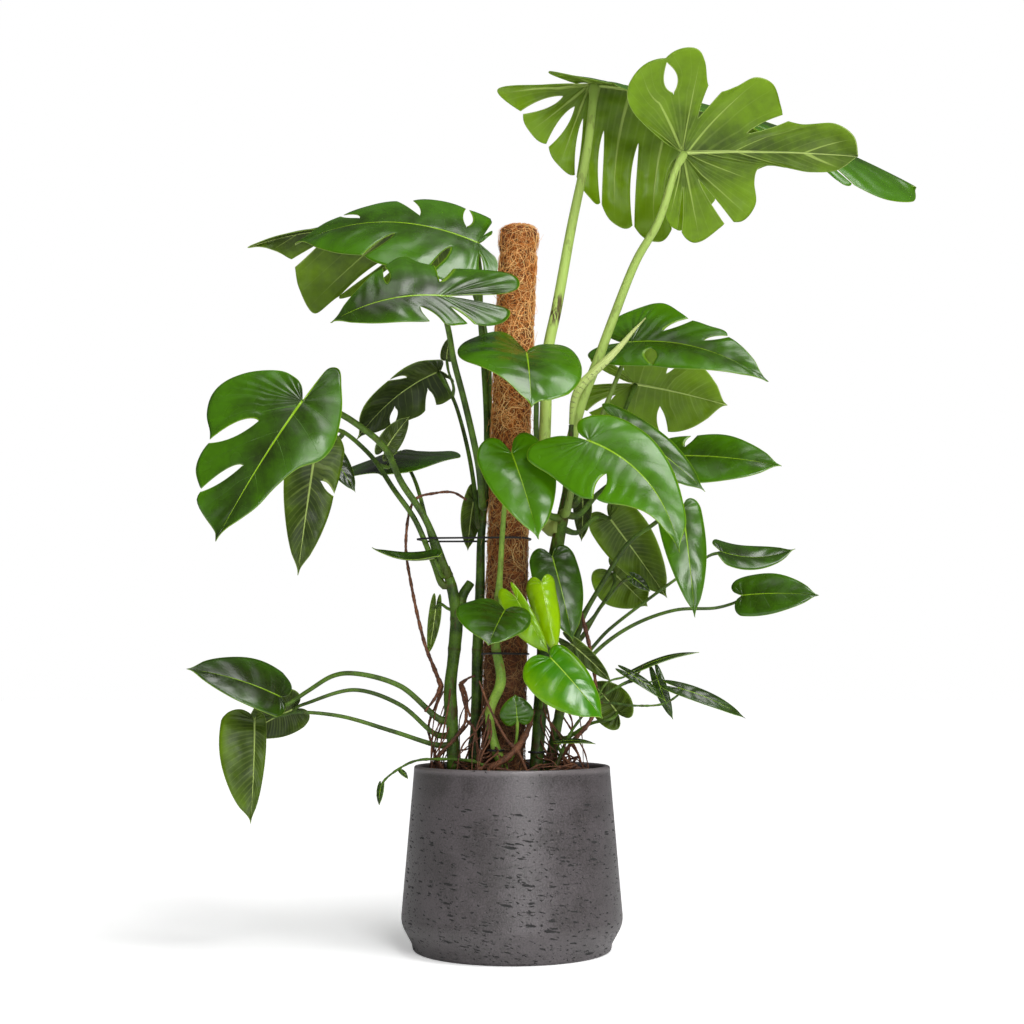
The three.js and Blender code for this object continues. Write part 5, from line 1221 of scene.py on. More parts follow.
def leaf_sheet(body, one):
    """Add one blade, a single sheet in the middle of its thickness."""
    blade = Blade(one)
    known = {}
    places = []
    faces = []

    def number(x, y, hand, values):
        key = (round(x * GRID), round(y * GRID * hand))
        if key not in known:
            known[key] = len(places)
            places.append((x, y, hand, *values))
        return known[key]

    halves = {1: list(blade.fingers(1)), -1: list(blade.fingers(-1))}
    starts = [float(x) for nets in halves.values() for net in nets for x in net["flat"][:, 0, 0]]
    feet = sorted({round(x * GRID) / GRID for x in starts})
    for hand, nets in halves.items():
        side = one["left" if hand > 0 else "right"]
        for net in nets:
            flat = net["flat"]
            columns, rows = flat.shape[:2]
            told = [net[key] for key in ("vein", "spacing", "q", "edge")]
            told.insert(0, relief(net, side, bool(side["slits"])))
            ids = [[number(flat[c, r, 0], flat[c, r, 1], hand, [values[c, r] for values in told])
                    for r in range(rows)] for c in range(columns)]
            for c, (here, there) in enumerate(zip(ids, ids[1:])):
                near, far = flat[c, 0, 0] + 0.06, flat[c + 1, 0, 0] - 0.06
                at_rib = (0, net["vein"][c, 0], 1, 0, 50)
                chain = [here[0], *[number(x, 0, hand, at_rib) for x in feet if near < x < far], there[0]]
                cells = [(here[1], *pair) for pair in zip(chain, chain[1:])]
                cells.append((here[1], chain[-1], there[1]))
                cells += [(here[r], there[r], there[r + 1], here[r + 1]) for r in range(1, rows - 1)]
                for corners in cells:
                    distinct = list(dict.fromkeys(corners))
                    if len(distinct) > 2:
                        faces.append(distinct if hand > 0 else distinct[::-1])
    table = np.array(places)
    points = np.empty((len(table), 3))
    for hand in (1, -1):
        mine = table[:, 2] == hand
        points[mine] = blade.place(table[mine, 0], table[mine, 1], hand, table[mine, 3])
    ribs = np.stack([np.abs(table[:, 1]), table[:, 7], np.clip(table[:, 0] / blade.length, 0, 1)], 1)
    body.add(points, faces, 0, ribs=ribs, veins=table[:, 4:7])
    return blade


print("points closer than", 1 / GRID, "mm are welded")

# %% [markdown]
# ## A whole leaf
#
# The sheet gets its 0.9 mm thickness from a Solidify modifier, which also gives the underside
# and the cut edge their own materials. The raised midrib is a thin rod sunk into the
# underside. Two leaves hang so that they show their undersides, though their solids are bent
# as if seen from above: on those the faces and the midrib trade sides.

# %% Whole leaves
BLADE_THICKNESS = 0.9
TURNED = ("hanging_left_leaf", "low_left_hanging_leaf")
RIB_PLACES = 14
ON_RIB = [0.0, 60.0, 0.5]


def thickened(sheet):
    """Give a sheet its thickness, an underside and a rim."""
    worked(sheet, "SOLIDIFY", thickness=BLADE_THICKNESS * MM, offset=0, material_offset=1,
           material_offset_rim=2)


def midrib(body, blade, thick, slot, below):
    """The raised midrib: a rod that tapers along the underside."""
    radii = thick * np.linspace(1, 0.16, RIB_PLACES) ** 1.2
    line = blade.spine(np.linspace(0.004, 0.97, RIB_PLACES))
    line -= blade.normal * below * (radii[:, None] * 0.62 + 0.2)
    rod(body, line, radii, sides=8, step=6, slot=slot, flat=0.8)
    body.values["ribs"] = [ON_RIB] * len(body.points)


def note(piece, name, value):
    """Store one number on a whole piece, for its finish to read."""
    layer = piece.data.attributes.new(name, "FLOAT", "POINT")
    layer.data.foreach_set("value", [value] * len(piece.data.vertices))


def made_leaf(one):
    """A whole leaf: the sheet with its thickness, and its midrib."""
    sheet = Body("ribs", "veins")
    blade = leaf_sheet(sheet, one)
    finishes = list(FRESH_LEAF if one["fresh"] else OLD_LEAF)
    slot, below = 1, 1
    if one["name"] in TURNED:
        finishes[:2] = finishes[1::-1]
        slot, below = 0, -1
    piece = sheet.piece(one["name"] + "_blade", *finishes)
    thickened(piece)
    ridge = Body("ribs", "veins")
    midrib(ridge, blade, one["thick"][0] * 0.42, slot, below)
    lower = ridge.piece(one["name"] + "_rib", *finishes)
    only(piece)
    lower.select_set(True)
    bpy.ops.object.join()
    # The tone is partly the leaf's own green and partly painted shade.
    note(piece, "tone_and_shade", TONES_AND_SHADE.get(one["name"], 0.42))
    note(piece, "rib_size", 0.34 * one["thick"][0])
    return piece


print("a blade is", BLADE_THICKNESS, "mm thick")

# %% [markdown]
# ## Leaf colours
#
# Seen close, a leaf's upper face is a glossy deep green with a bright yellow-green midrib,
# hair-thin pale side veins and a light line round the margin. The underside is duller, greyer
# and yellower, with the veins raised. One group turns the numbers stored on the mesh into
# those lines, and both faces of old and fresh leaves use it.

# %% The shared effect of leaf veins
FINE_VEINS = 5.0

VEINS, net, vein_in, vein_out = group(
    "leaf_veins", {"Vein Width": 0.4, "Rib Width": 1.0},
    ["Vein", "Rib", "Edge", "Height", "Beside", "Pillow", "Outward"],
)
rib_gap, edge_gap, onward = net.split(net.stored("ribs"))
vein_number, vein_room, outward = net.split(net.stored("veins"))
rib_size = net.stored("rib_size", "Fac")
off_vein = net.off_middle(vein_number)
vein_width = net.times(vein_in["Vein Width"], rib_size, net.less(1.15, outward))
rib_width = net.times(vein_in["Rib Width"], rib_size, net.less(1.1, onward))
fade = net.step(outward, 1.0, 0.55)
# Small leaves have hardly any veins to see
shown = net.times(fade, net.step(rib_size, 0.7, 1.8, 0.12, 1.0))
main_vein = net.times(net.line(net.times(off_vein, vein_room), vein_width), shown)
finer_gap = net.times(net.off_middle(net.times(vein_number, FINE_VEINS)), vein_room, 1 / FINE_VEINS)
fine_vein = net.times(net.line(finer_gap, net.times(vein_width, 0.7)), 0.14)
on_rib = net.line(rib_gap, rib_width)
given_out = {
    "Vein": net.most(main_vein, fine_vein),
    "Rib": on_rib,
    "Edge": net.line(edge_gap, net.step(rib_size, 0.5, 1.2, 0.5, 1.3)),
    "Height": net.most(main_vein, on_rib),
    "Beside": net.times(net.step(off_vein, 0.3, 0.0), shown),
    "Pillow": net.times(net.step(off_vein, 0.0, 0.42), fade),
    "Outward": net.times(outward, net.step(rib_gap, 0.0, 60.0, 0.3, 1.0)),
}
for label, socket in given_out.items():
    net.feed(vein_out[label], socket)
print("leaf_veins gives", list(given_out))

# %% [markdown]
# ## Leaf finishes
#
# Four faces and two cut edges: old and fresh, upper and under. On the upper face the veins are
# hair-thin grooves, on the underside they stand up and show more. A stored tone from 0 to 1
# makes some old leaves darker than others: partly their own deeper green, and partly painted
# shade on the inner leaves, which lie in the shade of others and look nearly bottle green. The
# gloss comes from a low roughness with a little noise in it.

# %% The leaf finishes
# Each leaf's tone: partly its own green, partly painted shade on leaves that lie in the shade of others.
TONES_AND_SHADE = {
    "front_heart_leaf": 0.62, "bright_heart_leaf": 0.86, "large_front_leaf": 0.8, "crown_leaf_rear": 0.7,
    "crown_leaf_front": 0.52, "behind_front_leaf": 0.5, "right_leaf": 0.6, "upper_right_leaf": 0.55,
    "grey_right_leaf": 0.75, "upper_left_leaf": 0.55, "upper_left_leaf_rear": 0.4, "second_left_leaf": 0.35,
    "big_left_leaf": 0.4, "hanging_left_leaf": 0.3, "hanging_left_small": 0.25, "dark_left_leaf": 0.12,
    "small_grey_leaf": 0.2, "level_left_leaf": 0.25, "upright_grey_leaf": 0.2, "hanging_right_leaf": 0.6,
    "dark_right_leaf": 0.5, "round_right_leaf": 0.6, "tiny_right_leaf": 0.3, "dark_centre_leaf": 0.45,
    "dark_rear_leaf": 0.15, "dark_front_leaf": 0.5, "small_round_leaf": 0.6, "low_right_leaf": 0.35,
    "far_right_curled_leaf": 0.4, "far_right_leaf": 0.45, "low_left_leaf": 0.25, "low_left_round_leaf": 0.2,
    "low_left_hanging_leaf": 0.4, "fresh_curled_leaf": 1.0, "fresh_rear_leaf": 0.7, "fresh_heart_leaf": 0.25,
}

UPPER = {"raised": -1.0, "vein": 0.4, "rib": 1.5, "show": 0.6, "uneven": 5.0, "pillow": 0.5, "gloss": 0.5}
UNDER = {"raised": 1.0, "vein": 1.6, "rib": 2.2, "show": 0.8, "uneven": 16.0, "pillow": 1.6, "gloss": 0.25}


def leaf_face(name, face, roughness, deep, bright, vein_colour, rib_colour):
    """One face of a leaf. raised is 1 where veins stand up and -1 where they are grooves."""
    made, mix = material(name)
    lines = use(mix, VEINS, Vein_Width=face["vein"], Rib_Width=face["rib"])
    cloud = mix.times(mix.less(mix.noise(mix.place(), 30.0, 4.0, 0.65), 0.5), 0.8)
    # Painted light: blades are painted paler towards the margin, as if lit through, and darker near the
    # midrib.
    painted_margin_light = mix.times(mix.less(lines["Outward"], 0.4), 0.5)
    level = mix.plus(mix.stored("tone_and_shade", "Fac"), cloud, painted_margin_light)
    colour = mix.mix(mix.step(level, 0.0, 1.0), deep, bright)
    for label, share, over in (("Beside", 0.12, vein_colour), ("Vein", face["show"], vein_colour),
                               ("Edge", 0.5, rib_colour), ("Rib", 0.95, rib_colour)):
        colour = mix.mix(mix.times(lines[label], share), colour, over)
    rough = mix.step(mix.noise(mix.place(), 40.0, 2.0), 0.3, 0.7, roughness - 0.05, roughness + 0.07)
    normal = mix.bump(mix.noise(mix.place(), 1.4, 2.0, 0.6), 0.12)
    normal = mix.bump(mix.noise(mix.place(), 46.0, 1.0, 0.5), face["uneven"], normal)
    normal = mix.bump(mix.times(lines["Pillow"], -face["raised"]), face["pillow"], normal)
    normal = mix.bump(mix.times(lines["Height"], face["raised"]), 0.6, normal)
    finish_of(mix, colour, rough, normal, Specular_IOR_Level=face["gloss"])
    return made


def leaf_rim(name, colour):
    made, mix = material(name)
    finish_of(mix, mix.mix(mix.noise(mix.place(), 8.0), colour, paint(150, 175, 60)), 0.5)
    return made


OLD_LEAF = (
    leaf_face("leaf_upper", UPPER, 0.25,
              paint(34, 48, 12), paint(70, 122, 2), paint(80, 128, 26), paint(140, 182, 30)),
    leaf_face("leaf_under", UNDER, 0.42,
              paint(44, 58, 20), paint(112, 148, 8), paint(164, 188, 92), paint(186, 208, 116)),
    leaf_rim("leaf_rim", paint(96, 136, 30)),
)
FRESH_LEAF = (
    leaf_face("fresh_upper", UPPER, 0.2,
              paint(60, 126, 0), paint(144, 188, 0), paint(120, 176, 36), paint(170, 208, 60)),
    leaf_face("fresh_under", UNDER, 0.36,
              paint(98, 146, 20), paint(146, 188, 44), paint(160, 200, 80), paint(186, 214, 100)),
    leaf_rim("fresh_rim", paint(160, 192, 60)),
)
print("leaf finishes:", [one.name for one in OLD_LEAF + FRESH_LEAF])

# %% [markdown]
# ## All the leaves
#
# With the notes, the mesh and the finishes ready, every leaf is made in one loop. Each is a
# piece of its own, as it is in the CAD model, and takes the place of its own solid.

# %% Make the leaves
total = 0
for one in LEAVES:
    total += dress(made_leaf(one), "fresh_leaf" if one["fresh"] else "leaf", one["name"])
print(len(LEAVES), "leaves have", total, "triangles")

# %% [markdown]
# ## Stems and leaf stalks
#
# Each leaf hangs on a stalk that bends up or down from a joint on its stem. Stalks are round
# rods that thicken to their foot, where they clasp the stem, and under the blade they swell
# into a small knee. The stems have rings where old leaves grew. Each stem and its stalks make
# one piece, as in the CAD model: rods that run into each other need no join to look grown.

# %% Stems, and the stalks of their leaves
STEMS = {
    "left_stem": ([[-78, 4, 10]], [[[[-78, 236, 4], [-80, 290, 2], [-83, 340, 0], [-78, 390, 0], [-75, 440,
         0], [-82, 480, 0], [-90, 505, 0]], [9, 8, 9, 8, 9, 8, 6]], [[[-74, 440, 0], [-66, 468, 6], [-56,
         484, 10]], [8, 7, 6]]]),
    "climbing_stem": ([[-52, 26, 9]], [[[[-52, 236, 26], [-48, 300, 24], [-46, 400, 22], [-43, 480, 20],
         [-42, 540, 18], [-38, 590, 14]], [8, 7.5, 8, 7, 6, 5]]]),
    "front_stem": ([[-12, -50, 8]], [[[[-12, 236, -50], [-24, 270, -50], [-30, 310, -49], [-15, 352, -49],
         [-22, 400, -49], [-20, 440, -49], [-19, 466, -50]], [7, 6, 6, 7, 6, 5.5, 3.4]]]),
    "right_stem": ([[32, -12, 10]], [[[[32, 236, -12], [37, 300, -10], [44, 400, -6], [54, 490, -3], [64,
         550, 0], [76, 612, 2], [80, 650, -4]], [9, 9, 10, 9, 10, 8, 6]], [[[76, 600, 0], [79, 640, -16],
         [81, 700, -28]], [4, 4, 3.4]]]),
    "rear_stem": ([[50, 34, 9]], [[[[50, 236, 34], [60, 290, 32], [70, 340, 30], [78, 385, 30], [94, 430,
         27]], [8, 7, 6, 5, 4]]]),
}

STALK_SIDES = 12
SCARRED = "crown_leaf_rear"
PALE_STALKS = {"crown_leaf_rear": 1.0, "crown_leaf_front": 0.9, "large_front_leaf": 0.4,
               "upper_right_leaf": 0.3}
JOINT_STEP = 58.0
JOINT_SWAY = 16.0
JOINT_WAVE = 31.0


def knee(place, length):
    """A stalk swells just under its blade, and widens at its foot into a sheath."""
    return 1 + 0.3 * math.exp(-((place - 9) / 9) ** 2) + 0.45 * math.exp(-((length - place) / 22) ** 2)


def ringed(place, length):
    """A stem has a raised joint every few centimetres, at uneven steps."""
    beat = (place + JOINT_SWAY * math.sin(place / JOINT_WAVE)) % JOINT_STEP - JOINT_STEP / 2
    return 1 + 0.08 * math.exp(-(beat / 5) ** 2)


def stem_piece(name, feet, limbs):
    body = Body("along", "kind")
    planted(body, feet, STALK_SIDES)
    lines = {name: np.concatenate(grown(body, limbs, sides=14, step=4, swell=ringed))}
    for one in [each for each in LEAVES if each["on"] == name]:
        blade = Blade(one)
        top = one["thick"][0]
        path = [blade.spine(0.012) - blade.normal * top * 0.4, *[at(point) for point in one["stalk"]]]
        if len(path) > 2 and np.linalg.norm(path[0] - path[1]) < top * 1.5:
            path.pop(1)
        target = lines[one.get("joins") or name]
        path.append(target[np.argmin(np.linalg.norm(target - path[-1], axis=1))])
        start = len(body.points)
        lines[one["name"]] = rod(body, path, one["thick"], sides=STALK_SIDES, step=5, swell=knee)
        kind = [1, PALE_STALKS.get(one["name"], 0.03), one["name"] == SCARRED]
        body.values["kind"][start:] = [kind] * (len(body.points) - start)
    return body.piece(name + "_skin", PALE_STEM if name == "front_stem" else STEM)


print("a stem's joints are about", JOINT_STEP, "mm apart")

# %% [markdown]
# ## Stem skins
#
# The skin is green with streaks along it, browner at the rings, at the sheaths and in stains.
# The stalks of the crown leaves are pale, and the rear one has a brown scar. The rings' colour
# reads the same distance along the stem as their shape does, so both stay together. The front
# stem is young and pale all over, so it gets the same finish in lighter colours.

# %% The stems' finishes
SCAR_LOW = 846
SCAR_HIGH = 906
SCAR_SLOPE = 16


def green_stem(name, dark, light, bark_colour):
    """Green rods with pale lengthways streaks, brown rings and brown sheaths at their feet."""
    made, mix = material(name)
    along, share, _ = mix.split(mix.stored("along"))
    is_stalk, pale, scarred = mix.split(mix.stored("kind"))
    _, _, height = mix.split(mix.place())
    cloud = use(mix, PATCHES, Dark=dark, Light=light, Size=34.0, Specks=0.3)
    bright = mix.mix(mix.times(is_stalk, pale), cloud["Colour"], paint(172, 200, 100))
    sway = mix.times(mix.maths("SINE", mix.maths("DIVIDE", along, JOINT_WAVE)), JOINT_SWAY)
    beat = mix.off_middle(mix.maths("DIVIDE", mix.plus(along, sway), JOINT_STEP))
    ring = mix.times(mix.step(beat, 0.06, 0.0), mix.less(1.0, is_stalk), 0.4)
    sheath = mix.times(mix.step(share, 0.9, 1.0), is_stalk, 0.4)
    stain = mix.step(mix.noise(mix.place((1, 1, 0.35)), 11.0, 3.0, 0.7), 0.54, 0.66)
    stained = mix.times(stain, mix.step(is_stalk, 0.0, 1.0, 0.75, 0.3))
    scar = mix.times(mix.step(height, SCAR_LOW, SCAR_LOW + SCAR_SLOPE),
                     mix.step(height, SCAR_HIGH, SCAR_HIGH - SCAR_SLOPE),
                     mix.step(mix.noise(mix.place((1, 1, 0.08)), 5.0, 3.0, 0.6), 0.5, 0.56), scarred, 0.9)
    colour = mix.mix(mix.most(ring, sheath, stained, scar), bright, bark_colour)
    streak = mix.noise(mix.place((1, 1, 0.12)), 1.6, 2.0, 0.6)
    finish_of(mix, colour, mix.step(streak, 0.3, 0.7, 0.45, 0.6), mix.bump(streak, 0.3),
              Specular_IOR_Level=0.3)
    return made


STEM = green_stem("stem_skin", paint(34, 54, 16), paint(86, 120, 30), paint(70, 44, 26))
PALE_STEM = green_stem("pale_stem_skin", paint(92, 126, 40), paint(142, 178, 66), paint(120, 88, 48))
for name, (feet, limbs) in STEMS.items():
    piece = stem_piece(name, feet, limbs)
    print(piece.name, "has", dress(piece, "pale_stem" if name == "front_stem" else "stem", name), "triangles")

# %% [markdown]
# ## Runners
#
# Two thin runners carry small narrow leaves. Their stems are thin rods whose thickness wanders
# a little, and their leaves are plain blades without a raised midrib, too small to show one.

# %% Runners
RUNNERS = {
    "leafy_runner": ([[58, -40, 4]], [[[[58, 236, -40], [78, 282, -38], [112, 324, -34], [138, 342, -30],
         [168, 360, -26], [177, 374, -24]], [3, 2, 1.8, 1.6, 1.5, 1.4]], [[[112, 324, -34], [128, 350,
         -32], [150, 357, -30], [160, 361, -28]], [1.8, 1.5, 1.4, 1.4]], [[[112, 324, -34], [140, 322,
         -40], [165, 319, -44], [205, 322, -40], [232, 340, -34]], [1.8, 1.6, 1.5, 1.4, 1.4]], [[[138, 342,
         -30], [165, 352, -22], [184, 350, -18], [197, 355, -16]], [1.6, 1.4, 1.3, 1.3]], [[[112, 324,
         -34], [96, 362, -26], [84, 398, -20]], [1.8, 1.6, 1.4]], [[[66, 256, -39], [62, 266, -44], [70,
         273, -46]], [2, 1.6, 1.4]]], [leaf("", "", [176, 371, -24], [252, 390, -20], [-0.2, -0.5, 0.85],
         half(7, 0, -10), half(7, 0, -10)), leaf("", "", [157, 362, -28], [206, 325, -34], [0.3, -0.8,
         0.5], half(8, 0, -10), half(8, 0, -10)), leaf("", "", [195, 357, -16], [216, 300, -14], [-0.3,
         -0.9, 0.1], half(9, 0, -10), half(9, 0, -10)), leaf("", "", [229, 341, -34], [313, 302, -36],
         [0.2, -0.8, 0.6], half(12, 0, -10), half(12, 0, -10)), leaf("", "", [82, 400, -20], [134, 350,
         -22], [0.1, 0.9, 0.4], half(13, 0, -10), half(12, 0, -10)), leaf("", "", [68, 272, -46], [112,
         268, -50], [0, -0.5, 0.86], half(6, 0, -10), half(6, 0, -10))]),
    "rim_runner": ([[-30, -66, 4]], [[[[-30, 236, -66], [-52, 245, -64], [-95, 248, -60], [-128, 246, -58],
         [-150, 236, -58], [-172, 218, -58], [-176, 206, -58]], [2.6, 2.4, 2, 1.8, 1.6, 1.5, 1.4]],
         [[[-150, 236, -58], [-146, 229, -61]], [1.6, 1.4]]], [leaf("", "", [-148, 232, -59], [-139, 222,
         -66], [0, -0.6, 0.8], half(4, 0, 0), half(4, 0, 0)), leaf("", "", [-175, 212, -58], [-177, 187,
         -60], [-0.3, -0.9, 0.2], half(5, 0, 0), half(5, 0, 0))]),
}


def wiry(place, length):
    return 1 + 0.14 * math.sin(place * 0.31) + 0.1 * math.sin(place * 0.83 + 1)


def runner_piece(name, feet, limbs, leaves):
    body = Body("along", "kind")
    planted(body, feet, 8)
    grown(body, limbs, sides=8, step=4, swell=wiry)
    stem = body.piece(name + "_skin", STEM)
    sheet = Body("ribs", "veins")
    for one in leaves:
        leaf_sheet(sheet, one)
    green = sheet.piece(name + "_blades", *OLD_LEAF)
    thickened(green)
    note(green, "tone_and_shade", 0.3)
    note(green, "rib_size", 0.5)
    return stem, green


for name, (feet, limbs, leaves) in RUNNERS.items():
    for piece in runner_piece(name, feet, limbs, leaves):
        print(piece.name, "has", dress(piece, "stem", name), "triangles")

# %% [markdown]
# ## Air roots
#
# Wiry brown roots grow from the stems' nodes, hang free or arch down, and end in the soil.
# They are rods through noted places too, with the patchy bark of the shared effect.

# %% Air roots
ROOTS = {
    "left_roots": ([[-98, 10, 2.4]], [[[[-95, 345, 0], [-106, 372, 4], [-117, 400, 6], [-136, 480, 12],
         [-144, 540, 14], [-132, 597, 16], [-105, 606, 14], [-80, 607, 8], [-62, 597, 4]], [3.4, 2.4, 2.4,
         2.2, 2, 2, 2, 1.8, 1.6]], [[[-95, 345, 0], [-104, 328, -12], [-117, 311, -18]], [3.4, 2, 1.4]],
         [[[-95, 345, 0], [-98, 330, 10], [-112, 290, 16], [-104, 258, 14], [-98, 236, 10]], [3.4, 2, 2, 2,
         2]]]),
    "centre_roots": ([[-43.5, -34, 2.4]], [[[[-69, 348, -6], [-62, 335, -14], [-60, 318, -18], [-56, 304,
         -20]], [3, 2, 1.8, 1.4]], [[[-69, 348, -6], [-58, 356, -12], [-50, 359, -16]], [3, 1.8, 1.4]],
         [[[-69, 348, -6], [-62, 300, -24], [-78, 274, -30], [-98, 250, -34], [-92, 232, -34]], [3, 2, 2.2,
         2.4, 2.4]], [[[-62, 300, -24], [-52, 290, -30], [-46, 262, -34], [-44, 236, -34]], [2, 2, 2, 2]]]),
    "thick_front_root": ([[-29, -84, 3.8]], [[[[-30, 236, -84], [-12, 246, -82], [6, 262, -76], [20, 284,
         -62], [25, 300, -50], [28, 312, -38]], [3.6, 4.4, 4.6, 4.2, 3.6, 3]], [[[6, 262, -76], [-4, 270,
         -74], [-22, 300, -70], [-36, 330, -66], [-44, 352, -60]], [3, 1.8, 1.6, 1.5, 1.2]], [[[6, 262,
         -76], [14, 246, -84], [20, 232, -88]], [3, 1.8, 1.6]]]),
    "right_roots": ([[60, -10, 2.6]], [[[[92, 448, 10], [97, 430, 6], [103, 405, 2], [108, 380, 0], [112,
         350, -4], [112, 315, -12], [100, 292, -16], [80, 270, -14], [66, 250, -12], [60, 236, -10]], [2,
         3, 2.6, 2.6, 2.4, 2.4, 2.8, 3, 2.6, 2.4]], [[[80, 270, -14], [88, 256, -18], [92, 244, -20]],
         [2.4, 1.8, 1.4]], [[[66, 252, -12], [80, 242, -18], [96, 233, -22]], [2.2, 1.6, 1.4]]]),
}

ROOT, mix = material("root_bark")
root_cloud = use(mix, PATCHES, Dark=paint(48, 26, 16), Light=paint(128, 80, 50), Size=16.0, Specks=0.5)
finish_of(mix, root_cloud["Colour"], 0.7, mix.bump(root_cloud["Height"], 0.6))
for name, (feet, limbs) in ROOTS.items():
    body = Body("along")
    planted(body, feet, 8)
    grown(body, limbs, sides=8, step=3, swell=wiry)
    piece = body.piece(name + "_bark", ROOT)
    print(piece.name, "has", dress(piece, "root", name), "triangles")

# %% [markdown]
# ## Fine roots
#
# Between the air roots is a tangle of finer ones: some arch down from the stems, some loop
# over the soil. Nobody could note each of them, so they are drawn from a seeded list of
# chances, which gives the same tangle on every run.

# %% Fine roots
FINE_ROOTS = 54
CREEPING_ROOTS = 22


def fine_root(body, chance, starts):
    """A thin root from a stem that arches out and down into the soil."""
    start = np.array(starts[chance.randrange(len(starts))])
    turn = math.atan2(start[1], start[0]) + chance.uniform(-1.3, 1.3)
    reach = chance.uniform(20, 62)
    end = start + [reach * math.cos(turn), reach * math.sin(turn), 0]
    away = math.hypot(end[0], end[1])
    end[:2] *= min(1, 112 / away)
    end[2] = SOIL_TOP - 4
    side = np.array([-math.sin(turn), math.cos(turn), 0]) * chance.uniform(-16, 16)
    high = start * 0.62 + end * 0.38 + side + [0, 0, chance.uniform(0, 14)]
    low = start * 0.2 + end * 0.8 + side * 0.5 + [0, 0, chance.uniform(6, 26)]
    thick = chance.uniform(0.8, 1.5)
    rod(body, [start, high, low, end], [thick, thick, thick * 0.8, thick * 0.6], sides=6, step=5, swell=wiry)


def creeping_root(body, chance):
    """A root that loops over the soil and goes back in."""
    turn = chance.uniform(0, 2 * math.pi)
    end_turn = turn + chance.uniform(0.5, 1.9)
    line = []
    for share in (0, 0.3, 0.65, 1):
        angle = turn + (end_turn - turn) * share
        reach = chance.uniform(46, 108)
        height = SOIL_TOP - 3 if share in (0, 1) else SOIL_TOP + chance.uniform(5, 20)
        line.append([reach * math.cos(angle), reach * math.sin(angle), height])
    thick = chance.uniform(0.9, 1.9)
    rod(body, line, [thick * 0.8, thick, thick, thick * 0.6], sides=6, step=5, swell=wiry)


chance = random.Random(23)
root_starts = []
for _, limbs in STEMS.values():
    trunk_line, _ = smooth_line([at(point) for point in limbs[0][0]], 6)
    root_starts += [list(point) for point in trunk_line if SOIL_TOP + 22 < point[2] < SOIL_TOP + 130]
tangle = Body("along")
for _ in range(FINE_ROOTS):
    fine_root(tangle, chance, root_starts)
for _ in range(CREEPING_ROOTS):
    creeping_root(tangle, chance)
fine_roots = tangle.piece("fine_roots_bark", ROOT)
print("fine roots have", dress(fine_roots, "root", "centre_roots"), "triangles")

# %% [markdown]
# ## The ties
#
# Black cord ties hold the stems to the pole. The CAD model has their loops already, so each
# tie is a copy of its solid, merged, rounded by one step of subdivision and given a cord's
# fine twist as a bump.

# %% The ties
tie_black, mix = material("tie_cord")
twist = mix.noise(mix.place(), 1.2, 2.0)
finish_of(mix, mix.mix(twist, paint(10, 10, 11), paint(34, 34, 36)), 0.55, mix.bump(twist, 0.4))
for name in ("upper_tie", "middle_tie", "lower_left_tie", "lower_right_tie"):
    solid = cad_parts[name]
    cord = solid.copy()
    cord.data = solid.data.copy()
    cord.name = name + "_cord"
    cord.parent = None
    cord.matrix_world = solid.matrix_world
    bpy.context.collection.objects.link(cord)
    only(cord)
    bpy.ops.object.mode_set(mode="EDIT")
    bpy.ops.mesh.select_all(action="SELECT")
    bpy.ops.mesh.remove_doubles(threshold=SAME_POINT)
    bpy.ops.object.mode_set(mode="OBJECT")
    worked(cord, "SUBSURF", levels=1, render_levels=1)
    bpy.ops.object.shade_smooth()
    cord.data.materials.clear()
    cord.data.materials.append(tie_black)
    print(cord.name, "has", dress(cord, "tie", name), "triangles")

# %% [markdown]
# ## The rolled new leaf
#
# A monstera's next leaf comes up as a tight pale roll, thicker in its middle and drawn out to
# a point. Its wrap shows as a seam that winds round it, with fine ribs and a row of short dark
# dashes. It is a rod again, with a groove cut along its seam by pulling some points in.

# %% The rolled leaf
SPEAR = [[81.1, 701, -28.3], [86, 735, -38], [95, 755, -46], [110, 771, -50], [130, 790, -52],
         [150, 811, -53], [168, 832, -54], [184, 849, -55]]
SPEAR_SIDES = 40
SEAM_TURN = 5.5
DASH_STEP = 7.5

roll = Body("along")
rod(roll, [at(point) for point in SPEAR], [3.4, 5, 6, 6, 5.4, 4, 2.4, 0.8], sides=SPEAR_SIDES, step=2)
rings = np.array(roll.points).reshape(-1, SPEAR_SIDES, 3)
_, share, turn = np.moveaxis(np.array(roll.values["along"]).reshape(rings.shape), 2, 0)
seam = (turn - share * SEAM_TURN) % (2 * math.pi)
pull = 1 - 0.22 * np.exp(-(seam / 0.16) ** 2) + 0.1 * np.maximum(0, 1 - seam / 1.2)
middles = rings.mean(axis=1, keepdims=True)
roll.points = (middles + (rings - middles) * pull[..., None]).reshape(-1, 3)
spear = roll.piece("rolled_leaf")

new_leaf, mix = material("rolled_leaf_skin")
along, share, turn = mix.split(mix.stored("along"))
zigzag = mix.plus(along, mix.times(mix.noise(mix.place(), 2.0, 2.0), 7.0))
dash = mix.step(mix.off_middle(mix.maths("DIVIDE", zigzag, DASH_STEP)), 0.1, 0.04)
side_on = mix.step(mix.maths("SINE", mix.less(turn, mix.times(share, SEAM_TURN))), 0.35, 0.7)
pale = mix.mix(share, paint(170, 196, 96), paint(206, 218, 138))
finish_of(mix, mix.mix(mix.times(dash, side_on, 0.75), pale, paint(74, 86, 34)), 0.42,
          mix.bump(mix.maths("SINE", mix.times(turn, 14.0)), 0.15))
spear.data.materials.append(new_leaf)
print("the rolled leaf has", dress(spear, "new_leaf", "rolled_new_leaf"), "triangles")

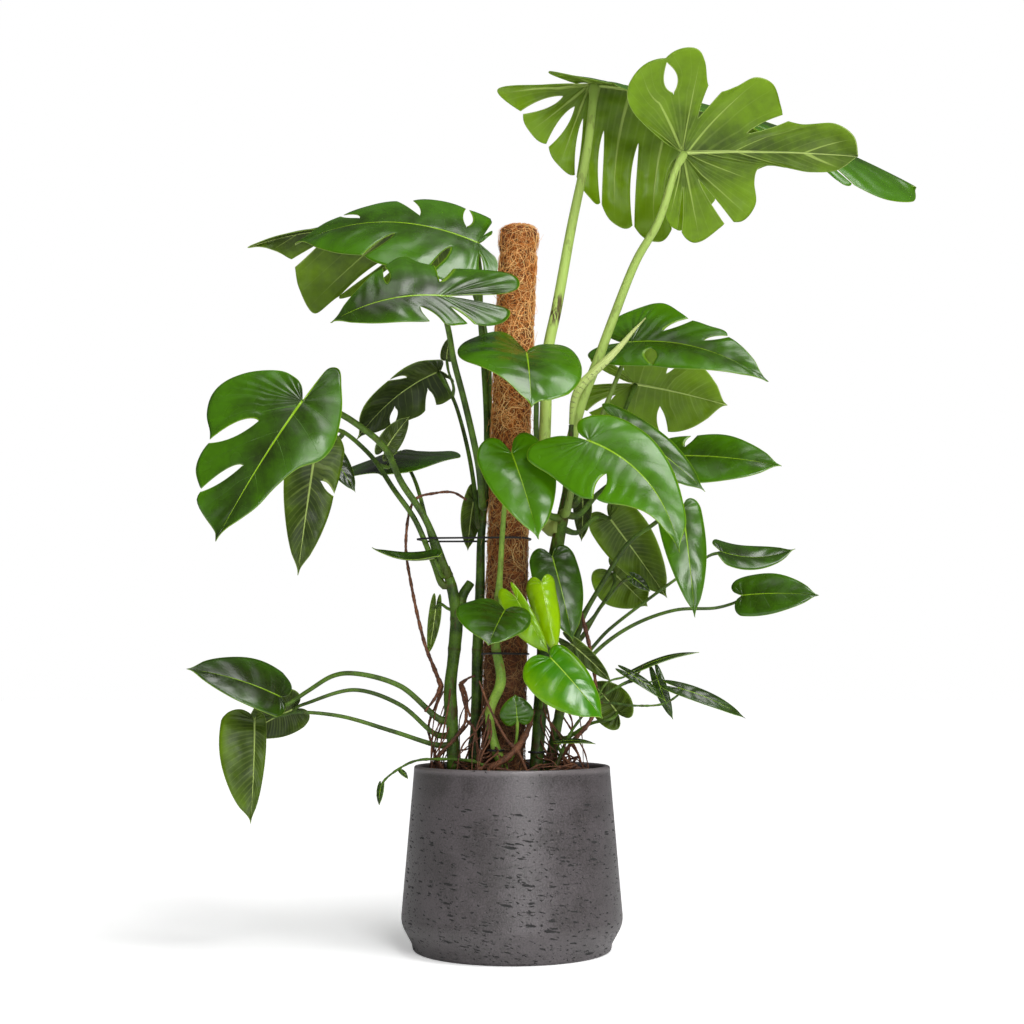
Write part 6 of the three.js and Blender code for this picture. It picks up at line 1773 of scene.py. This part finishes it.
# %% [markdown]
# ## Floor, light and camera
#
# The plant stands on a plain pale floor in soft studio light. A very wide sun from the upper
# right gives the form and a faint soft shadow to the left. A round lamp in front puts the
# gloss on the leaves, a low one the sheen on the pot, and a weak one lights from above. The
# floor glows for the camera alone, and so stays white without lighting the plant from below.
# The camera stands 2.1 m in front, a little above the pot, and looks up six degrees, so the
# pot is seen almost level.

# %% Floor and surround
FILL_LIGHT = 0.09
FLOOR_GLOW = 0.4
FLOOR_BOUNCE = 0.03


def grey(value):
    return (value, value, value, 1)


cleared()
bpy.ops.mesh.primitive_plane_add(size=30, location=(0, 8, 0))
floor = bpy.context.object
floor.name = "pale_floor"
bpy.ops.object.transform_apply(location=True)
pale_floor, mix = material("pale_floor")
finish_of(mix, mix.mix(mix.noise(mix.place(), 400.0), paint(250, 250, 250), paint(254, 254, 254)), 0.9,
          Emission_Strength=1.0)
seen = mix.node("LightPath").outputs["Is Camera Ray"]
mix.feed(pale_floor.node_tree.nodes["Principled BSDF"].inputs["Emission Color"],
         mix.mix(seen, grey(FLOOR_BOUNCE), grey(FLOOR_GLOW)))
floor.data.materials.append(pale_floor)
floor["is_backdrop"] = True

world = bpy.data.worlds.new("studio")
bpy.context.scene.world = world
world.use_nodes = True
surround = Recipe(world.node_tree)
seen = surround.node("LightPath").outputs["Is Camera Ray"]
background = world.node_tree.nodes["Background"]
surround.feed(background.inputs["Strength"], surround.step(seen, 0.0, 1.0, FILL_LIGHT, 1.0))
background.inputs["Color"].default_value = grey(1)
print("the floor is", round(floor.dimensions.x), "m wide")

# %% Lights and camera
SUN_LIGHT = 2.25
SUN_WIDTH = 34
SUN_PLACE = (1.1, -0.8, 2.7)
# Each lamp's place and aim in metres, its width and its power in watts
LAMPS = {
    "front_box": ((0.7, -2.6, 1.6), (0, 0, 0.6), 1.0, 38),
    "low_box": ((0.45, -2.2, 0.3), (0, 0, 0.15), 0.4, 6),
    "top_box": ((-0.5, -0.5, 2.9), (0, 0, 0.9), 0.8, 3),
}
CAMERA_PITCH = 6
CAMERA_LENS = 55.5
CAMERA_SENSOR = 36


def aimed(name, light, place, aim):
    made = placed(name, light)
    made.location = place
    made.rotation_euler = (Vector(aim) - Vector(place)).to_track_quat("-Z", "Y").to_euler()


for name, (place, aim, width, power) in LAMPS.items():
    light = bpy.data.lights.new(name, "AREA")
    light.shape = "DISK"
    light.size = width
    light.energy = power
    aimed(name, light, place, aim)
sun = bpy.data.lights.new("sun", "SUN")
sun.energy = SUN_LIGHT
sun.angle = math.radians(SUN_WIDTH)
aimed("sun", sun, SUN_PLACE, (0, 0, 0))

camera = placed("camera", bpy.data.cameras.new("camera"))
camera.location = (0, -VIEW_DISTANCE * MM, VIEW_HEIGHT * MM)
camera.rotation_euler = (math.radians(90 + CAMERA_PITCH), 0, 0)
camera.data.lens = CAMERA_LENS
camera.data.sensor_width = CAMERA_SENSOR
camera.data.clip_end = 100
bpy.context.scene.camera = camera
bpy.context.scene.view_settings.view_transform = "Standard"
print("the camera looks up", CAMERA_PITCH, "degrees from", VIEW_HEIGHT, "mm above the floor")

# %% [markdown]
# ## Sizes
#
# The last cell measures the dressed plant, prints how far it reaches and hands the scene over.

# %% Measure the dressed plant and finish
LOOK_BOX = [list(corner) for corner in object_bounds()]
print("the dressed plant reaches", [[round(v, 3) for v in corner] for corner in LOOK_BOX])
